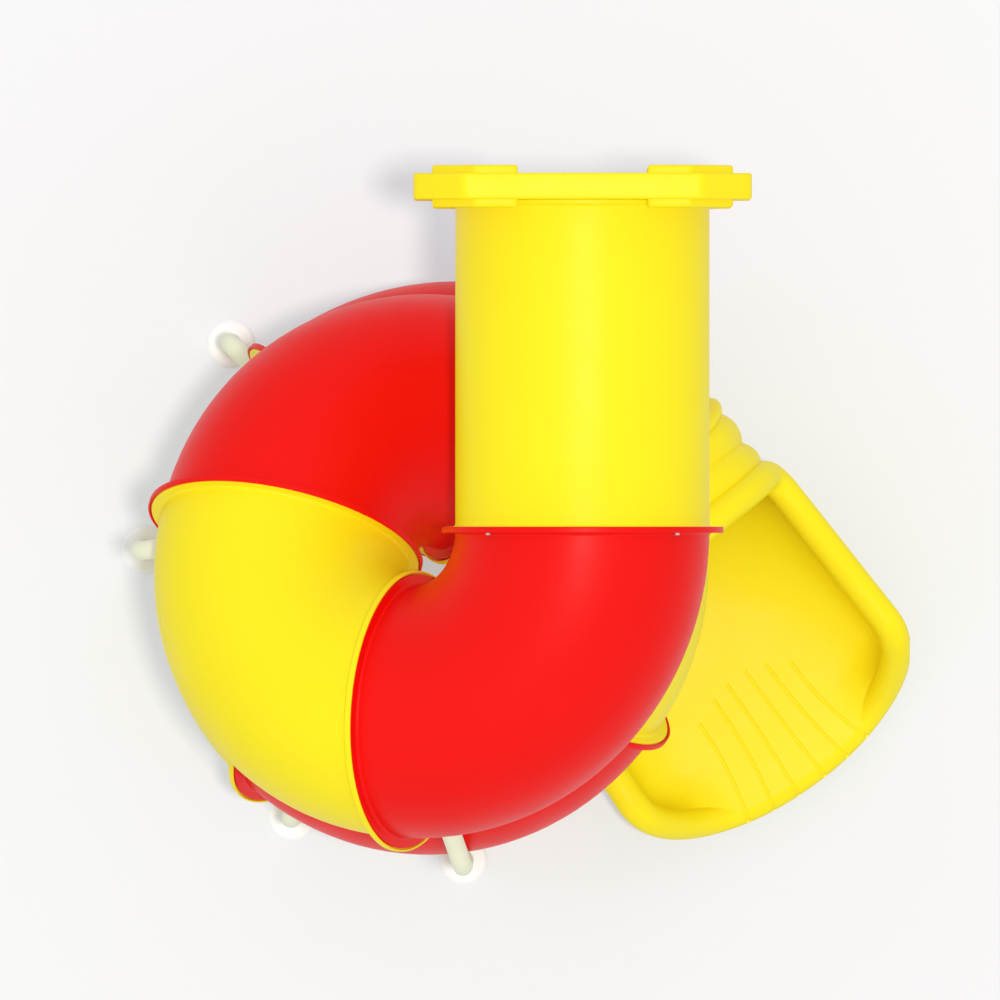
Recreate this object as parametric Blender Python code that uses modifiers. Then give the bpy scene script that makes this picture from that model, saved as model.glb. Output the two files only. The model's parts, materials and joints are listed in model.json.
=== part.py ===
"""Spiral tube slide for a playground tower, built from bolted mouldings on bent pipe supports.

Metres, +Z up. The origin is on the ground, under the middle of the slide's bounding box.
The entrance panel faces +Y, where the deck is. The slide leaves it towards -Y, winds down
clockwise as seen from above, and ends in an open chute close to the ground.
"""
import math

import bmesh
import bpy
from mathutils import Matrix, Vector

# Tube, in metres. The bore is the width that a child slides through.
BORE_RADIUS = 0.380
WALL = 0.0075
BEND_RADIUS = 0.555
STRAIGHT_LENGTH = 1.005
# Each elbow's bend and its turn on the joint before it, in degrees, from the entrance down.
ELBOWS = (
    (93.5, 25.4),
    (89.7, 24.0),
    (91.0, 48.1),
    (96.1, 42.1),
    (89.4, 45.9),
    (93.3, 28.4),
    (93.1, 39.8),
)

# Joint: the flange of the piece above seats in the socket of the collar below it.
COLLAR_RADIUS = 0.430
LIP_WALL = 0.0065
SOCKET_CLEARANCE = 0.004
FLANGE_THICKNESS = 0.0095
COLLAR_FLOOR = 0.0095
SEAT_GAP = 0.0003
BOLTS_PER_JOINT = 4
BOLT_SIZE = 0.010
INSERT_DEPTH = 0.0070
HOLE_CLEARANCE = 0.0005

# Entrance panel.
PANEL_WIDTH = 1.030
PANEL_HEIGHT = 1.030
PANEL_THICKNESS = 0.080
PANEL_CORNER_CUT = 0.150
PANEL_CORNER_RADIUS = 0.045
PANEL_EDGE_ROUND = 0.008
PAD_THICKNESS = 0.129
PAD_INNER_EDGE = 0.197
PAD_OUTER_MARGIN = 0.057
PAD_RING_CLEARANCE = 0.015
PAD_TAPER = 0.010
MOUTH_FLARE = 0.025
MOUTH_OVERRUN = 0.002
PANEL_FLANGE_THICKNESS = 0.014
PANEL_BOLTS = 4
PANEL_BOLT_SIZE = 0.010
PANEL_BOLT_POCKET_RADIUS = 0.014
PANEL_BOLT_POCKET_DEPTH = 0.009
PANEL_INSERT_DEPTH = 0.011
DECK_HOLE_RADIUS = 0.007
DECK_HOLE_INSET = 0.140

# Exit chute: a ribbed hood, then an open trough with a rolled rim round its mouth.
EXIT_FLOOR_HEIGHT = 0.200
EXIT_SLOPE = 3.0
HOOD_LENGTH = 0.321
HOOD_NECK_HALF_WIDTH = 0.4275
HOOD_HALF_WIDTH = 0.4355
HOOD_CROWN = 0.400
HOOD_SWELL_LENGTH = 0.024
RIB_NOTCHES = (0.024, 0.083, 0.200, 0.300)
RIB_HEIGHT = 0.020
RIM_RADIUS = 0.042
RIM_ARCH_HALF_WIDTH = 0.450
RIM_HALF_WIDTH_AT_HOOD = 0.461
RIM_HALF_WIDTH = 0.490
RIM_SIDE_LENGTH = 0.913
RIM_END_LENGTH = 0.264
RIM_END_EXPONENT = 2.14
RIM_FLOOR_ANGLE = 64.0
RIM_SIDE_DROP = 0.080
RIM_CORNER_RADIUS = 0.065
RIM_COVER = 0.0165
RIM_END_COVER = 0.005
TROUGH_END_EXPONENT = 2.8

# Supports: a bent pipe from the ground to a welded saddle that holds the joined flanges.
PIPE_RADIUS = 0.03015
PIPE_WALL = 0.0032
PIPE_CLOSED_END = 0.012
PIPE_BEND_RADIUS = 0.090
SADDLE_WIDTH = 0.080
SADDLE_PLATE = 0.006
SADDLE_REACH = 0.034
COVER_RADIUS = 0.0755
COVER_HEIGHT = 0.012
COVER_CHAMFER = 0.004
COVER_CLEARANCE = 0.001
# The joint that each support carries, the distance of its post from the joint's centre along
# the arm, and the arm's drop under the level in degrees.
SUPPORTS = (
    (1, 0.657, 45.0),
    (2, 0.612, 46.0),
    (3, 0.680, 45.0),
    (5, 0.578, 49.0),
    (6, 0.566, 32.0),
)

# Leg under the exit chute.
LEG_POSITION = 0.760
LEG_PAD_RADIUS = 0.075
LEG_PAD_DEPTH = 0.022
LEG_FLANGE_RADIUS = 0.068
LEG_FLANGE_THICKNESS = 0.008
LEG_BOLT_CIRCLE_RADIUS = 0.049
BOLTS_PER_LEG = 2

# Facets.
TUBE_SIDES = 24
ELBOW_STEPS = 6
BOLT_SIDES = 6
DISC_SIDES = 18

# Bolt proportions, as shares of the thread's diameter.
HEAD_WIDTH = 1.75
HEAD_HEIGHT = 0.60

TUBE_RADIUS = BORE_RADIUS + WALL
SOCKET_RADIUS = COLLAR_RADIUS - LIP_WALL
FLANGE_RADIUS = SOCKET_RADIUS - SOCKET_CLEARANCE
BOLT_CIRCLE_RADIUS = (TUBE_RADIUS + FLANGE_RADIUS) / 2
ARM_DROPS = {joint: drop for joint, _, drop in SUPPORTS}
FREE_JOINT_DROP = 45.0

YELLOW = ("yellow_plastic", (0.95, 0.78, 0.02), 0.35, 0.0)
RED = ("red_plastic", (0.85, 0.03, 0.02), 0.35, 0.0)
IVORY = ("ivory_paint", (0.86, 0.88, 0.74), 0.40, 0.0)
COVER_WHITE = ("white_plastic", (0.90, 0.91, 0.86), 0.45, 0.0)
STEEL = ("zinc_steel", (0.62, 0.63, 0.64), 0.35, 1.0)


def clear_scene():
    for obj in list(bpy.data.objects):
        bpy.data.objects.remove(obj)


def collection(name):
    made = bpy.data.collections.new(name)
    bpy.context.scene.collection.children.link(made)
    return made


def material(finish):
    name, colour, roughness, metallic = finish
    made = bpy.data.materials.get(name)
    if made:
        return made
    made = bpy.data.materials.new(name)
    made.use_nodes = True
    shader = made.node_tree.nodes["Principled BSDF"]
    shader.inputs["Base Color"].default_value = (*colour, 1.0)
    shader.inputs["Roughness"].default_value = roughness
    shader.inputs["Metallic"].default_value = metallic
    made.diffuse_color = (*colour, 1.0)
    return made


def add_part(name, data, finish, place=Matrix()):
    """A named sub-part in the slide's collection, carried by the root empty."""
    obj = bpy.data.objects.new(name, data)
    PARTS.objects.link(obj)
    obj.parent = ROOT
    obj.matrix_world = place
    if not data.materials:
        data.materials.append(material(finish))
    return obj


def add_tool(name, data, place=Matrix()):
    """A shape that is only used to cut or to complete a sub-part."""
    obj = bpy.data.objects.new(name, data)
    TOOLS.objects.link(obj)
    obj.parent = ROOT
    obj.matrix_world = place
    obj.hide_render = True
    obj.display_type = "WIRE"
    return obj


def combine(obj, other, operation):
    modifier = obj.modifiers.new(f"{operation.lower()}_{other.name}", "BOOLEAN")
    modifier.operation = operation
    modifier.solver = "EXACT"
    modifier.object = other


def smooth(share):
    """Ease from 0 to 1 with level ends."""
    share = min(max(share, 0.0), 1.0)
    return share * share * (3 - 2 * share)


def finish_mesh(bm, name):
    bmesh.ops.remove_doubles(bm, verts=bm.verts, dist=0.00001)
    bmesh.ops.recalc_face_normals(bm, faces=bm.faces)
    mesh = bpy.data.meshes.new(name)
    bm.to_mesh(mesh)
    bm.free()
    shade(mesh)
    return mesh


def shade(mesh):
    mesh.shade_smooth()
    mesh.set_sharp_from_angle(angle=math.radians(30))


def evaluated_mesh(obj):
    """The object's mesh with its modifiers or bevels made, the object itself removed."""
    bpy.context.view_layer.update()
    graph = bpy.context.evaluated_depsgraph_get()
    mesh = bpy.data.meshes.new_from_object(obj.evaluated_get(graph))
    bpy.data.objects.remove(obj)
    bm = bmesh.new()
    bm.from_mesh(mesh)
    return finish_mesh(bm, mesh.name)


def turned_mesh(name, profile, sides, closed=False):
    """Turn a profile of (radius, height) points about Z. It runs down its outer side."""
    mesh = bpy.data.meshes.new(name)
    edges = [(i, i + 1) for i in range(len(profile) - 1)]
    if closed:
        edges.append((len(profile) - 1, 0))
    mesh.from_pydata([(radius, 0, height) for radius, height in profile], edges, [])
    obj = bpy.data.objects.new(name, mesh)
    TOOLS.objects.link(obj)
    screw = obj.modifiers.new("turn", "SCREW")
    screw.steps = sides
    screw.render_steps = sides
    screw.use_merge_vertices = True
    screw.merge_threshold = 0.00001
    return evaluated_mesh(obj)


def cylinder_mesh(name, radius, low, high, sides):
    return turned_mesh(name, [(0, high), (radius, high), (radius, low), (0, low)], sides)


def outline_mesh(name, outline, thickness, edge=0.0):
    """A flat outline of (x, y) points with its thickness centred on z = 0 and chamfered edges."""
    curve = bpy.data.curves.new(name, "CURVE")
    curve.dimensions = "2D"
    curve.fill_mode = "BOTH"
    curve.extrude = thickness / 2 - edge
    curve.bevel_depth = edge
    curve.bevel_resolution = 0
    curve.offset = -edge
    spline = curve.splines.new("POLY")
    spline.points.add(len(outline) - 1)
    for point, (x, y) in zip(spline.points, outline):
        point.co = (x, y, 0, 1)
    spline.use_cyclic_u = True
    obj = bpy.data.objects.new(name, curve)
    TOOLS.objects.link(obj)
    return evaluated_mesh(obj)


def copies_mesh(name, mesh, places):
    """Separate copies of one mesh, each moved by its matrix."""
    bm = bmesh.new()
    for place in places:
        add_mesh(bm, mesh, place)
    return finish_mesh(bm, name)


def add_mesh(bm, mesh, place):
    start = len(bm.verts)
    bm.from_mesh(mesh)
    bm.verts.ensure_lookup_table()
    bmesh.ops.transform(bm, matrix=place, verts=bm.verts[start:])


def bolt_mesh(name, size, grip):
    """A hexagon-head bolt with its head above z = 0 and its shank down to -grip."""
    head = size * HEAD_WIDTH / 2 / math.cos(math.pi / BOLT_SIDES)
    top = SEAT_GAP + size * HEAD_HEIGHT
    profile = [
        (0, top),
        (head, top),
        (head, SEAT_GAP),
        (size / 2, SEAT_GAP),
        (size / 2, -grip),
        (0, -grip),
    ]
    return turned_mesh(name, profile, BOLT_SIDES)


def rounded_path(points, radius, steps):
    """A 3-D path whose inner corners are arcs of the given radius."""
    path = [points[0]]
    for before, corner, after in zip(points, points[1:], points[2:]):
        back = (before - corner).normalized()
        ahead = (after - corner).normalized()
        half = back.angle(ahead) / 2
        centre = corner + (back + ahead).normalized() * radius / math.sin(half)
        first = corner + back * radius / math.tan(half) - centre
        last = corner + ahead * radius / math.tan(half) - centre
        turn = first.angle(last)
        for i in range(steps + 1):
            share = i / steps
            arm = first * math.sin((1 - share) * turn) + last * math.sin(share * turn)
            path.append(centre + arm / math.sin(turn))
    return path + [points[-1]]


def pipe_curve(name, path, radius, resolution, cyclic=False):
    curve = bpy.data.curves.new(name, "CURVE")
    curve.dimensions = "3D"
    curve.bevel_depth = radius
    curve.bevel_resolution = resolution
    curve.use_fill_caps = not cyclic
    spline = curve.splines.new("POLY")
    spline.points.add(len(path) - 1)
    for point, place in zip(spline.points, path):
        point.co = (*place, 1)
    spline.use_cyclic_u = cyclic
    return curve


def bend_frame(angle, radius=BEND_RADIUS):
    """The frame after a bend towards +X. Z is the way down the tube."""
    centre = Matrix.Translation((radius, 0, 0))
    return centre @ Matrix.Rotation(angle, 4, "Y") @ centre.inverted()


def along(distance):
    return Matrix.Translation((0, 0, distance))


def roll(angle):
    return Matrix.Rotation(angle, 4, "Z")


def loft_rings(name, rings):
    """A tube wall through a closed row of (frame, radius) circles."""
    bm = bmesh.new()
    circles = []
    for frame, radius in rings:
        made = bmesh.ops.create_circle(bm, radius=radius, segments=TUBE_SIDES, matrix=frame)
        circles.append(made["verts"])
    for one, other in zip(circles, circles[1:] + circles[:1]):
        for i in range(TUBE_SIDES):
            j = (i + 1) % TUBE_SIDES
            bm.faces.new((one[i], one[j], other[j], other[i]))
    return finish_mesh(bm, name)


def flange_rings(end):
    """The upper piece's flange: the outer wall runs into it, the bore leaves it."""
    back = end @ along(-FLANGE_THICKNESS - SEAT_GAP)
    face = end @ along(-SEAT_GAP)
    return [(back, TUBE_RADIUS), (back, FLANGE_RADIUS), (face, FLANGE_RADIUS), (face, BORE_RADIUS)]


def collar_profile():
    """The lower piece's collar, from its socket floor round its lip to its back."""
    return [
        (0.0, SOCKET_RADIUS),
        (-FLANGE_THICKNESS, SOCKET_RADIUS),
        (-FLANGE_THICKNESS, COLLAR_RADIUS),
        (COLLAR_FLOOR, COLLAR_RADIUS),
    ]


def elbow_mesh(name, bend):
    """One elbow from its socket at the origin to its flange at the end of the bend."""
    middle = [bend_frame(bend * i / ELBOW_STEPS) for i in range(1, ELBOW_STEPS)]
    rings = [(Matrix(), BORE_RADIUS)]
    rings += [(along(offset), radius) for offset, radius in collar_profile()]
    rings += [(along(COLLAR_FLOOR), TUBE_RADIUS)]
    rings += [(frame, TUBE_RADIUS) for frame in middle]
    rings += flange_rings(bend_frame(bend))
    rings += [(frame, BORE_RADIUS) for frame in reversed(middle)]
    return loft_rings(name, rings)


def spiral_frames():
    """Each joint's frame with the entrance joint at the origin: X is inwards, Z the way down."""
    frame = Matrix(((-1, 0, 0, 0), (0, 0, -1, 0), (0, -1, 0, 0), (0, 0, 0, 1)))
    frames = [frame]
    starts = []
    for bend, turn in ELBOWS:
        start = frame @ roll(math.radians(turn))
        frame = start @ bend_frame(math.radians(bend))
        starts.append(start)
        frames.append(frame)
    return starts, frames


def level_frame(frame):
    """The same place and way down, with X level to the left and Y upwards."""
    forward = frame.to_3x3() @ Vector((0, 0, 1))
    left = Vector((0, 0, 1)).cross(forward).normalized()
    up = forward.cross(left)
    turned = Matrix((left, up, forward)).transposed().to_4x4()
    return Matrix.Translation(frame.translation) @ turned


def arm_direction(joint, frame):
    """From a joint's centre outwards and down, in the joint's own plane."""
    level = level_frame(frame).to_3x3()
    angle = math.radians(ARM_DROPS.get(joint, FREE_JOINT_DROP))
    return level @ Vector((math.cos(angle), -math.sin(angle), 0))


def joint_frame(joint, frame):
    """A joint's frame with X along the arm of its support, which sets the bolts' places."""
    forward = frame.to_3x3() @ Vector((0, 0, 1))
    outward = arm_direction(joint, frame)
    turned = Matrix((outward, forward.cross(outward), forward)).transposed().to_4x4()
    return Matrix.Translation(frame.translation) @ turned


def bolt_places(count, circle, phase=0.0):
    """Places on a bolt circle. The first one is on X, or the given share of a pitch past it."""
    return [
        roll(math.tau * (i + phase) / count) @ Matrix.Translation((circle, 0, 0))
        for i in range(count)
    ]


def build_panel(place):
    """The moulded entrance panel. Its own Z is the way down, so the deck is on its -Z side."""
    half_width = PANEL_WIDTH / 2
    half_height = PANEL_HEIGHT / 2
    cut = PANEL_CORNER_CUT
    corners = [
        (half_width, half_height - cut),
        (half_width - cut, half_height),
        (cut - half_width, half_height),
        (-half_width, half_height - cut),
        (-half_width, cut - half_height),
        (cut - half_width, -half_height),
        (half_width - cut, -half_height),
        (half_width, cut - half_height),
    ]
    outline = rounded_outline(corners, PANEL_CORNER_RADIUS)
    mesh = outline_mesh("panel", outline, PANEL_THICKNESS, PANEL_EDGE_ROUND)
    panel = add_part("entrance_panel", mesh, YELLOW, place)
    pad = outline_mesh("pad", pad_outline(), PAD_THICKNESS, PAD_TAPER)
    mirrors = [Matrix.Diagonal((x, y, 1, 1)) for x in (1, -1) for y in (1, -1)]
    combine(panel, add_tool("corner_pads", copies_mesh("corner_pads", pad, mirrors), place), "UNION")
    combine(panel, add_tool("panel_mouth", mouth_cutter(), place), "DIFFERENCE")
    inset_x = half_width - DECK_HOLE_INSET
    inset_y = half_height - DECK_HOLE_INSET
    depth = PAD_THICKNESS
    hole = cylinder_mesh("deck_hole", DECK_HOLE_RADIUS, -depth, depth, BOLT_SIDES * 2)
    places = [Matrix.Translation((x * inset_x, y * inset_y, 0)) for x in (1, -1) for y in (1, -1)]
    combine(panel, add_tool("deck_holes", copies_mesh("deck_holes", hole, places), place), "DIFFERENCE")
    return panel


def rounded_outline(corners, radius):
    """A closed flat outline with every corner rounded."""
    points = [Vector((x, y, 0)) for x, y in corners]
    looped = [points[-1]] + points + [points[0]]
    path = rounded_path(looped, radius, 2)[1:-1]
    return [(point.x, point.y) for point in path]


def pad_outline():
    """A corner pad between the panel's edge and the ring of the tube's flange."""
    outer_x = PANEL_WIDTH / 2 - PAD_OUTER_MARGIN
    outer_y = PANEL_HEIGHT / 2 - PAD_OUTER_MARGIN
    ring = COLLAR_RADIUS + PAD_RING_CLEARANCE
    low = math.asin(PAD_INNER_EDGE / ring)
    high = math.acos(PAD_INNER_EDGE / ring)
    arc = [low + (high - low) * i / 4 for i in range(5)]
    inner = [(ring * math.cos(angle), ring * math.sin(angle)) for angle in arc]
    cut = PANEL_CORNER_CUT - PAD_OUTER_MARGIN * 0.4
    outer = [(outer_x - cut, outer_y), (outer_x, outer_y - cut)]
    return inner + [(PAD_INNER_EDGE, outer_y)] + outer + [(outer_x, PAD_INNER_EDGE)]


def mouth_cutter():
    """The panel's opening, flared on the deck side."""
    inner = MOUTH_FLARE - PANEL_THICKNESS / 2
    depth = MOUTH_FLARE + MOUTH_OVERRUN
    flare = [
        (BORE_RADIUS + MOUTH_FLARE * (1 - math.cos(angle)), inner - depth * math.sin(angle))
        for angle in (0.0, math.pi / 6, math.pi / 3, math.pi / 2)
    ]
    beyond = PANEL_THICKNESS
    wide = flare[-1][0]
    profile = [(0, beyond), (BORE_RADIUS, beyond)] + flare + [(wide, -beyond), (0, -beyond)]
    return turned_mesh("mouth_cutter", profile, TUBE_SIDES)


def build_straight(place):
    """The straight entrance tube, from its flange on the panel to the first joint's flange."""
    rings = [
        (along(SEAT_GAP), BORE_RADIUS),
        (along(SEAT_GAP), FLANGE_RADIUS),
        (along(SEAT_GAP + PANEL_FLANGE_THICKNESS), FLANGE_RADIUS),
        (along(SEAT_GAP + PANEL_FLANGE_THICKNESS), TUBE_RADIUS),
    ]
    rings += flange_rings(along(STRAIGHT_LENGTH))
    profile = [(radius, frame.translation.z) for frame, radius in rings]
    return add_part("straight_tube", turned_mesh("straight", profile, TUBE_SIDES, True), YELLOW, place)


def build_panel_bolts(panel, tube, place):
    """Bolts sunk in pockets on the deck side, through the panel into the tube's flange."""
    deck = -PANEL_THICKNESS
    pocket = deck + PANEL_BOLT_POCKET_DEPTH
    grip = PANEL_THICKNESS - PANEL_BOLT_POCKET_DEPTH + SEAT_GAP + PANEL_INSERT_DEPTH
    flip = Matrix.Translation((0, 0, pocket)) @ Matrix.Rotation(math.pi, 4, "X")
    places = [spot @ flip for spot in bolt_places(PANEL_BOLTS, BOLT_CIRCLE_RADIUS, 0.5)]
    bolt = bolt_mesh("panel_bolt", PANEL_BOLT_SIZE, grip)
    for number, spot in enumerate(places, start=1):
        add_part(f"panel_bolt_{number}", bolt, STEEL, place @ spot)
    hole = PANEL_BOLT_SIZE / 2 + HOLE_CLEARANCE
    profile = [
        (0, PANEL_BOLT_POCKET_DEPTH * 2),
        (PANEL_BOLT_POCKET_RADIUS, PANEL_BOLT_POCKET_DEPTH * 2),
        (PANEL_BOLT_POCKET_RADIUS, 0),
        (hole, 0),
        (hole, -grip - HOLE_CLEARANCE),
        (0, -grip - HOLE_CLEARANCE),
    ]
    cutter = turned_mesh("panel_bolt_hole", profile, BOLT_SIDES * 2)
    holes = add_tool("panel_bolt_holes", copies_mesh("panel_bolt_holes", cutter, places), place)
    combine(panel, holes, "DIFFERENCE")
    combine(tube, holes, "DIFFERENCE")


def build_joint(joint, frame, upper, lower, support):
    """One joint's bolts. Where a support holds the joint, the first bolt goes through its saddle."""
    number = joint + 1
    place = joint_frame(joint, frame)
    spots = bolt_places(BOLTS_PER_JOINT, BOLT_CIRCLE_RADIUS)
    seat = along(COLLAR_FLOOR)
    grip = COLLAR_FLOOR + SEAT_GAP + INSERT_DEPTH
    short = bolt_mesh("joint_bolt", BOLT_SIZE, grip)
    saddle_seat = seat @ along(SEAT_GAP + SADDLE_PLATE)
    saddle_grip = COLLAR_FLOOR + FLANGE_THICKNESS + SADDLE_PLATE * 2 + SEAT_GAP * 3
    for index, spot in enumerate(spots, start=1):
        name = f"joint_{number}_bolt_{index}"
        if support and index == 1:
            long = bolt_mesh("saddle_bolt", BOLT_SIZE, saddle_grip)
            add_part(name, long, STEEL, place @ spot @ saddle_seat)
        else:
            add_part(name, short, STEEL, place @ spot @ seat)
    hole = BOLT_SIZE / 2 + HOLE_CLEARANCE
    blind = cylinder_mesh("blind", hole, -grip - HOLE_CLEARANCE, SADDLE_PLATE, BOLT_SIDES)
    through = cylinder_mesh("through", hole, -saddle_grip * 2, SADDLE_PLATE * 2, BOLT_SIDES)
    first = through if support else blind
    bm = bmesh.new()
    for mesh, spot in zip([first] + [blind] * (BOLTS_PER_JOINT - 1), spots):
        add_mesh(bm, mesh, spot @ seat)
    holes = add_tool(f"joint_{number}_holes", finish_mesh(bm, "joint_holes"), place)
    for piece in filter(None, (upper, lower, support)):
        combine(piece, holes, "DIFFERENCE")


def saddle_mesh():
    """A channel round the rim of the joined flanges, open towards the tube (-X)."""
    low = -FLANGE_THICKNESS - SEAT_GAP * 2
    high = COLLAR_FLOOR + SEAT_GAP
    rim = COLLAR_RADIUS + SEAT_GAP
    back = rim + SADDLE_PLATE
    tip = rim - SADDLE_REACH
    outline = [
        (tip, low - SADDLE_PLATE),
        (back, low - SADDLE_PLATE),
        (back, high + SADDLE_PLATE),
        (tip, high + SADDLE_PLATE),
        (tip, high),
        (rim, high),
        (rim, low),
        (tip, low),
    ]
    mesh = outline_mesh("saddle", outline, SADDLE_WIDTH)
    mesh.transform(Matrix.Rotation(math.pi / 2, 4, "X"))
    return mesh


def build_support(number, joint, frame, reach):
    """A bent post from the ground, with the saddle of one joint welded to its arm."""
    direction = arm_direction(joint, frame)
    corner = frame.translation + direction * reach
    tip = frame.translation + direction * (COLLAR_RADIUS + SEAT_GAP + SADDLE_PLATE / 2)
    foot = Vector((corner.x, corner.y, 0))
    support = add_part(f"support_{number}", pipe_mesh([foot, corner, tip], PIPE_RADIUS), IVORY)
    hollow_out(support, f"support_{number}_bore", [foot, corner, tip])
    saddle = add_tool(f"saddle_{number}", saddle_mesh(), joint_frame(joint, frame))
    combine(support, saddle, "UNION")
    build_cover(f"post_cover_{number}", foot)
    return support


def pipe_mesh(points, radius):
    """A round bar through the points, bent where the path turns."""
    path = rounded_path(points, PIPE_BEND_RADIUS, 4)
    pipe = bpy.data.objects.new("pipe", pipe_curve("pipe", path, radius, 3))
    TOOLS.objects.link(pipe)
    return evaluated_mesh(pipe)


def hollow_out(pipe, name, points):
    """Bore a pipe from its open foot to its closed upper end."""
    foot, before, end = points[0], points[-2], points[-1]
    below = foot - Vector((0, 0, PIPE_WALL))
    stop = end - (end - before).normalized() * PIPE_CLOSED_END
    bore = pipe_mesh([below] + points[1:-1] + [stop], PIPE_RADIUS - PIPE_WALL)
    combine(pipe, add_tool(name, bore), "DIFFERENCE")


def build_cover(name, foot):
    """The flat round cover that closes the ground round a post."""
    bore = PIPE_RADIUS + COVER_CLEARANCE
    profile = [
        (bore, COVER_HEIGHT),
        (COVER_RADIUS - COVER_CHAMFER, COVER_HEIGHT),
        (COVER_RADIUS, COVER_HEIGHT - COVER_CHAMFER),
        (COVER_RADIUS, 0),
        (bore, 0),
    ]
    add_part(name, turned_mesh(name, profile, DISC_SIDES, True), COVER_WHITE, Matrix.Translation(foot))


def exit_spine(distance, inlet_slope):
    """The chute's frame at a distance from the last joint: it levels out under the hood."""
    under_hood = min(distance, HOOD_LENGTH)
    turn = (math.radians(EXIT_SLOPE) - inlet_slope) * under_hood / HOOD_LENGTH
    half = Matrix.Rotation(turn / 2, 4, "X")
    return half @ along(under_hood) @ half @ along(distance - under_hood)


def rib_rise(distance):
    """How far the hood bulges between two of its notches."""
    for start, end in zip(RIB_NOTCHES, RIB_NOTCHES[1:]):
        if start < distance < end:
            return RIB_HEIGHT * math.sqrt(math.sin(math.pi * (distance - start) / (end - start)))
    return 0.0


def hood_stations():
    """Distances of the hood's sections: the ends, the notches and points between them."""
    stations = [COLLAR_FLOOR / 4]
    for start, end in zip(RIB_NOTCHES, RIB_NOTCHES[1:]):
        stations += [start + (end - start) * share for share in (0.0, 0.14, 0.4, 0.6, 0.86)]
    return stations + [RIB_NOTCHES[-1], HOOD_LENGTH]


def hood_point(distance, angle):
    """A point of the hood's inner face in its section's plane."""
    swell = smooth((distance - RIB_NOTCHES[0]) / HOOD_SWELL_LENGTH)
    width = BORE_RADIUS + (HOOD_NECK_HALF_WIDTH - BORE_RADIUS) * swell
    width += (HOOD_HALF_WIDTH - HOOD_NECK_HALF_WIDTH) * distance / HOOD_LENGTH
    above = BORE_RADIUS + (HOOD_CROWN - BORE_RADIUS) * smooth(distance / HOOD_LENGTH)
    height = above if math.sin(angle) > 0 else BORE_RADIUS
    rise = rib_rise(distance) * smooth((math.sin(angle) + 0.6) / 0.6)
    return Vector(((width + rise) * math.cos(angle), (height + rise) * math.sin(angle), 0))


def rim_half_width(distance):
    share = (distance - HOOD_LENGTH) / (RIM_SIDE_LENGTH - HOOD_LENGTH)
    return RIM_HALF_WIDTH_AT_HOOD + (RIM_HALF_WIDTH - RIM_HALF_WIDTH_AT_HOOD) * share


def side_height(distance):
    share = (distance - HOOD_LENGTH) / (RIM_SIDE_LENGTH - HOOD_LENGTH)
    return -RIM_SIDE_DROP * smooth(share)


def end_plan(angle, half_width):
    """The rounded end of the mouth in plan, from its side at 0 to its middle at 90 degrees."""
    power = 2 / RIM_END_EXPONENT
    across = half_width * abs(math.cos(angle)) ** power
    ahead = RIM_END_LENGTH * math.sin(angle) ** power
    return math.copysign(across, math.cos(angle)), RIM_SIDE_LENGTH + ahead


def end_share(angle):
    """How far the trough's end has come down from its sides (0) to the level of its floor (1)."""
    return smooth(min(angle, math.pi - angle) / math.radians(RIM_FLOOR_ANGLE))


def end_height(angle):
    """The height of the trough's edge round its end, which falls to the floor's height."""
    return -RIM_SIDE_DROP + (RIM_SIDE_DROP - BORE_RADIUS) * end_share(angle)


def trough_point(across, ahead, edge_height, share, exponent):
    """A point between the floor's middle (share 0) and the trough's edge (share 1)."""
    bowl = 1 - (1 - share ** exponent) ** (1 / exponent)
    height = -BORE_RADIUS + (BORE_RADIUS + edge_height) * bowl
    return Vector((across * share, height, ahead))


def chute_mesh(inlet_slope):
    """The chute's sliding face as one sheet, its normals towards the slider."""
    bm = bmesh.new()
    half = TUBE_SIDES // 2
    rows = []
    for distance in hood_stations():
        spine = exit_spine(distance, inlet_slope)
        ring = [spine @ hood_point(distance, -math.pi * i / half) for i in range(TUBE_SIDES)]
        rows.append([bm.verts.new(point) for point in ring])
    for upper, lower in zip(rows, rows[1:]):
        for i in range(TUBE_SIDES):
            j = (i + 1) % TUBE_SIDES
            bm.faces.new((upper[i], upper[j], lower[j], lower[i]))
    spine = exit_spine(HOOD_LENGTH, inlet_slope) @ along(-HOOD_LENGTH)
    shares = [math.cos(math.pi * i / half) for i in range(half + 1)]
    row = rows[-1][:half + 1]
    steps = 3
    for step in range(1, steps + 1):
        ahead = HOOD_LENGTH + (RIM_SIDE_LENGTH - HOOD_LENGTH) * step / steps
        edge = rim_half_width(ahead) - (RIM_RADIUS - RIM_COVER)
        exponent = 2 + (TROUGH_END_EXPONENT - 2) * step / steps
        made = []
        for share in shares:
            point = trough_point(edge, ahead, side_height(ahead), abs(share), exponent)
            point.x = math.copysign(point.x, share)
            made.append(bm.verts.new(spine @ point))
        for i in range(half):
            bm.faces.new((row[i], row[i + 1], made[i + 1], made[i]))
        row = made
    pole = row[half // 2]
    line = row[:half // 2]
    sectors = 12
    for sector in range(1, sectors + 1):
        angle = math.pi * sector / sectors
        inset = (RIM_RADIUS - RIM_COVER) * (1 - end_share(angle))
        across, ahead = end_plan(angle, RIM_HALF_WIDTH - inset)
        if sector == sectors:
            made = row[half // 2 + 1:][::-1]
        else:
            made = []
            for share in shares[:half // 2]:
                point = trough_point(across, 0, end_height(angle), share, TROUGH_END_EXPONENT)
                point.z = RIM_SIDE_LENGTH + (ahead - inset * math.sin(angle) - RIM_SIDE_LENGTH) * share
                made.append(bm.verts.new(spine @ point))
        for i in range(len(line) - 1):
            bm.faces.new((line[i], line[i + 1], made[i + 1], made[i]))
        bm.faces.new((line[-1], pole, made[-1]))
        line = made
    mesh = bpy.data.meshes.new("exit_chute")
    bm.to_mesh(mesh)
    bm.free()
    shade(mesh)
    return mesh


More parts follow.
